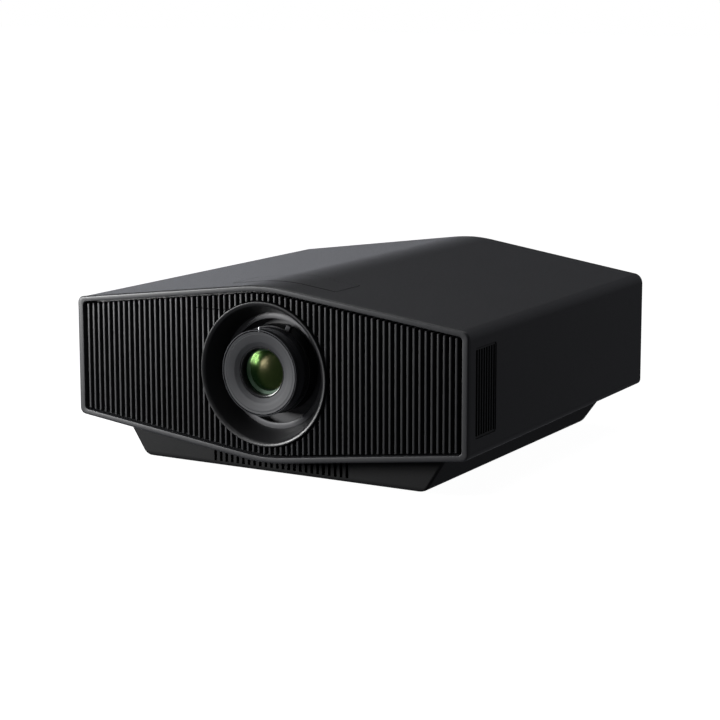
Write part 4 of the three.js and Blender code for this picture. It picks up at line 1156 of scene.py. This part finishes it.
BRIGHT = turned_metal("pin_finish", (0.85, 0.86, 0.88), 0.38, 1.0)
ZINC = turned_metal("zinc_finish", (0.45, 0.46, 0.48), 0.42, 0.9, 40)
CAST = turned_metal("cast_finish", (0.32, 0.33, 0.34), 0.55, 0.8, 60)
BOARD = moulded("board_finish", (0.012, 0.08, 0.035), 0.4, 700, 0.02 * MM)
FOAM = moulded("filter_finish", (0.25, 0.26, 0.27), 0.9, 500, 0.2 * MM, specular=0.2)
RECESS_FLOOR = moulded("recess_floor_finish", (0.11, 0.11, 0.115), 0.42, 900, 0.008 * MM)
# Bright mint seat colour: a painted reflection of the lens coating.
SEAT_PAINTED_REFLECTION = turned_metal("seat_painted_reflection", (0.55, 0.75, 0.6), 0.34, 0.1, centre=(0, LENS_Z))
FRONT_GLASS = lens_glass(
    "front_glass_finish", (0.002, 0.012, 0.003), (0.5, 1.0, 0.22), 0.6, 0.3, (0.14, 0.18), 40, 0.9)
# Olive body colour of the second element: a painted glow of light inside the lens.
DEEP_GLASS_PAINTED_GLOW = lens_glass(
    "deep_glass_painted_glow", (0.036, 0.045, 0.012), (1.0, 0.86, 0.45), 1.0, 1.0, (0.28, 0.34), 60, 0.8)


# ---- Assembly ----
def place(obj, body, material, slot, *nodes):
    paint(obj, material)
    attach(obj, body)
    if nodes:
        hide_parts(*nodes)
    return obj


place(front_frame(), "housing", FRAME, "frame_plastic", "front_frame")
fins_piece, window_piece = grille()
place(fins_piece, "housing", FINS, "grille_plastic", "front_grille")
place(window_piece, "housing", WINDOW, "smoked_window", "ir_window")
place(shroud(), "housing", GLOSS, "shroud_gloss", "lens_shroud")
place(shroud_floor(), "housing", RECESS_FLOOR, "shroud_gloss")
place(top_cover(), "housing", COVER, "cover_plastic", "top_cover")
place(keel(), "housing", COVER, "cover_plastic", "bottom_cover")
place(top_flap(), "flap", COVER, "cover_plastic", "top_flap")
# The black strip is painted shade in the flap's front groove.
place(flap_groove_shade_strip(), "flap", RUBBER, "cover_plastic")
place(base_tray(), "housing", BASE, "base_plastic", "base_plinth")
place(focus_ring(), "focus", GRIP, "lens_metal", "focus_ring")
place(index_pin(), "focus", BRIGHT, "bright_pin", "focus_pin")
place(zoom_grip(), "zoom", BARREL, "lens_metal", "zoom_ring")
place(skirt(), "h_carriage", SKIRT, "skirt_plastic", "lens_skirt")
place(face_ring(), "h_carriage", FACE, "lens_face", "lens_face_ring")
place(retainer(), "h_carriage", RETAINER, "lens_metal", "lens_retainer")
place(lens_seat(), "h_carriage", SEAT_PAINTED_REFLECTION, "lens_metal")
place(inner_barrel(), "h_carriage", BAFFLE, "lens_metal")
place(front_glass(), "h_carriage", FRONT_GLASS, "coated_glass", "front_glass")
place(second_glass(), "h_carriage", DEEP_GLASS_PAINTED_GLOW, "coated_glass")

tongues_piece, contacts_piece = socket_details()
place(tongues_piece, "housing", INNER, "socket_plastic")
place(contacts_piece, "housing", BRASS, "socket_metal")
place(dial("v_shift_dial", "x"), "v_dial", RUBBER, "dial_rubber", "v_shift_dial")
place(dial("h_shift_dial", "y"), "h_dial", RUBBER, "dial_rubber", "h_shift_dial")
for key in ("up", "down", "left", "right", "enter", "menu", "input", "power"):
    place(key_cap("key_" + key), "button_" + key, KEY, "key_plastic", "key_" + key)
for side in ("left", "right"):
    stem, pad, rear = "front_foot_stem_" + side, "front_foot_pad_" + side, "rear_foot_" + side
    place(foot_stem(stem), "foot_stem_" + side, ZINC, "steel", stem)
    place(foot_pad(pad, 36), "foot_pad_" + side, RUBBER, "foot_rubber", pad)
    place(foot_pad(rear, 24), "housing", RUBBER, "foot_rubber", rear)

SOFTENED = [
    ("side_vent_right", 0.4, VENT, "vent_plastic"),
    ("side_vent_left", 0.4, VENT, "vent_plastic"),
    ("rear_panel", 0.5, REAR, "rear_plastic"),
    ("adjuster_bay", 0.4, INNER, "inner_plastic"),
    ("terminal_panel", 0.3, INNER, "inner_plastic"),
    ("key_panel", 0.3, GLOSS, "shroud_gloss"),
    ("power_inlet", 0.5, INNER, "socket_plastic"),
    ("hdmi_socket_1", 0.25, ZINC, "socket_metal"),
    ("hdmi_socket_2", 0.25, ZINC, "socket_metal"),
    ("lan_socket", 0.3, ZINC, "socket_metal"),
    ("usb_socket", 0.25, ZINC, "socket_metal"),
    ("serial_socket", 0.25, ZINC, "socket_metal"),
]
for node, width, material, slot in SOFTENED:
    place(softened(node, width * MM), "housing", material, slot, node)

FINISHES = {
    "h_shift_plate": ZINC, "v_shift_plate": ZINC, "chassis_plate": ZINC, "lens_mount_plate": CAST,
    "light_engine": CAST, "laser_module": CAST, "heat_sink": CAST, "lens_tube": BARREL,
    "main_board": BOARD, "power_board": BOARD, "air_filter": FOAM,
    "fan_frame_left": INNER, "fan_frame_right": INNER, "fan_rotor_left": INNER, "fan_rotor_right": INNER,
    "blower_housing": INNER, "blower_wheel": INNER,
}
for node, material in FINISHES.items():
    dress(node, material)


# ---- Floor, light and camera ----
def stage_floor():
    bpy.ops.mesh.primitive_plane_add(size=30, location=(0, 0, 0))
    floor = bpy.context.object
    floor.name = "floor"
    material, nodes, links, shader = new_material("floor_finish")
    shader.inputs["Base Color"].default_value = (0.25, 0.25, 0.25, 1)
    shader.inputs["Roughness"].default_value = 0.9
    shader.inputs["Specular IOR Level"].default_value = 0.1
    shader.inputs["Emission Color"].default_value = (1, 1, 1, 1)
    shader.inputs["Emission Strength"].default_value = FLOOR_GLOW
    paint(floor, material)
    floor.visible_glossy = False
    floor.visible_diffuse = False


stage_floor()


def area_light(name, place_at, aim, size, power):
    light = bpy.data.lights.new(name, "AREA")
    light.shape = "SQUARE"
    light.size = size
    light.energy = power
    obj = bpy.data.objects.new(name, light)
    bpy.context.scene.collection.objects.link(obj)
    obj.location = place_at
    obj.rotation_mode = "QUATERNION"
    obj.rotation_quaternion = (Vector(aim) - Vector(place_at)).to_track_quat("-Z", "Y")
    obj.visible_camera = False
    return obj


def world_light():
    """White behind the object; a dim room with a low glow behind the left side and a faint rim light."""
    world = bpy.data.worlds.new("studio")
    bpy.context.scene.world = world
    world.use_nodes = True
    nodes = world.node_tree.nodes
    links = world.node_tree.links
    backdrop = nodes["Background"]
    backdrop.inputs["Color"].default_value = (1, 1, 1, 1)
    backdrop.inputs["Strength"].default_value = 1.0
    room = nodes.new("ShaderNodeBackground")
    coords = nodes.new("ShaderNodeTexCoord")
    split = nodes.new("ShaderNodeSeparateXYZ")
    links.new(coords.outputs["Generated"], split.inputs[0])
    towards = vector_maths(nodes, links, "DOT_PRODUCT", coords.outputs["Generated"], GLOW_TOWARDS)
    low = ramp(nodes, links, split.outputs["Z"], 1, 0, 0.03, 0.17)
    side = ramp(nodes, links, towards.outputs["Value"], 0, 1, 0.8, 1.0)
    glow = ramp(nodes, links, combined(nodes, links, "MULTIPLY", low, side), SKY, SKY + GLOW)
    below = ramp(nodes, links, split.outputs["Z"], FILL, 0, -0.3, -0.05)
    behind = vector_maths(nodes, links, "DOT_PRODUCT", coords.outputs["Generated"], RIM_TOWARDS)
    rim = ramp(nodes, links, behind.outputs["Value"], 0, RIM, 0.78, 0.98)
    total = combined(nodes, links, "ADD", glow, combined(nodes, links, "ADD", below, rim))
    links.new(total, room.inputs["Strength"])
    room.inputs["Color"].default_value = ROOM_COLOUR
    path = nodes.new("ShaderNodeLightPath")
    mix = nodes.new("ShaderNodeMixShader")
    links.new(path.outputs["Is Camera Ray"], mix.inputs[0])
    links.new(room.outputs[0], mix.inputs[1])
    links.new(backdrop.outputs[0], mix.inputs[2])
    links.new(mix.outputs[0], nodes["World Output"].inputs["Surface"])


world_light()
area_light("left_panel", (-0.85, -0.95, 0.28), (-0.1, -0.23, 0.1), 0.3, 16.5)
area_light("high_front", (-0.5, -1.2, 1.0), (0, -0.23, 0.1), 0.3, 1.8)
area_light("overhead", (-0.3, 0.1, 1.9), (0, 0, 0), 2.4, 16)
bpy.context.scene.view_settings.view_transform = "Standard"


def make_camera():
    data = bpy.data.cameras.new("camera")
    camera = bpy.data.objects.new("camera", data)
    bpy.context.scene.collection.objects.link(camera)
    a, e = CAMERA_AZIMUTH, CAMERA_ELEVATION
    back = Vector((math.sin(a) * math.cos(e), -math.cos(a) * math.cos(e), math.sin(e)))
    right = Vector((math.cos(a), math.sin(a), 0))
    up = back.cross(right)
    camera.location = CAMERA_AIM + back * CAMERA_DISTANCE + right * CAMERA_SLIDE + up * CAMERA_RISE
    turn = Matrix((right, up, back)).transposed().to_4x4()
    camera.matrix_world = Matrix.Translation(camera.location) @ turn
    data.sensor_width = 36
    data.lens = CAMERA_LENS
    data.shift_x, data.shift_y = CAMERA_SHIFT
    data.clip_end = 50
    bpy.context.scene.camera = camera


make_camera()
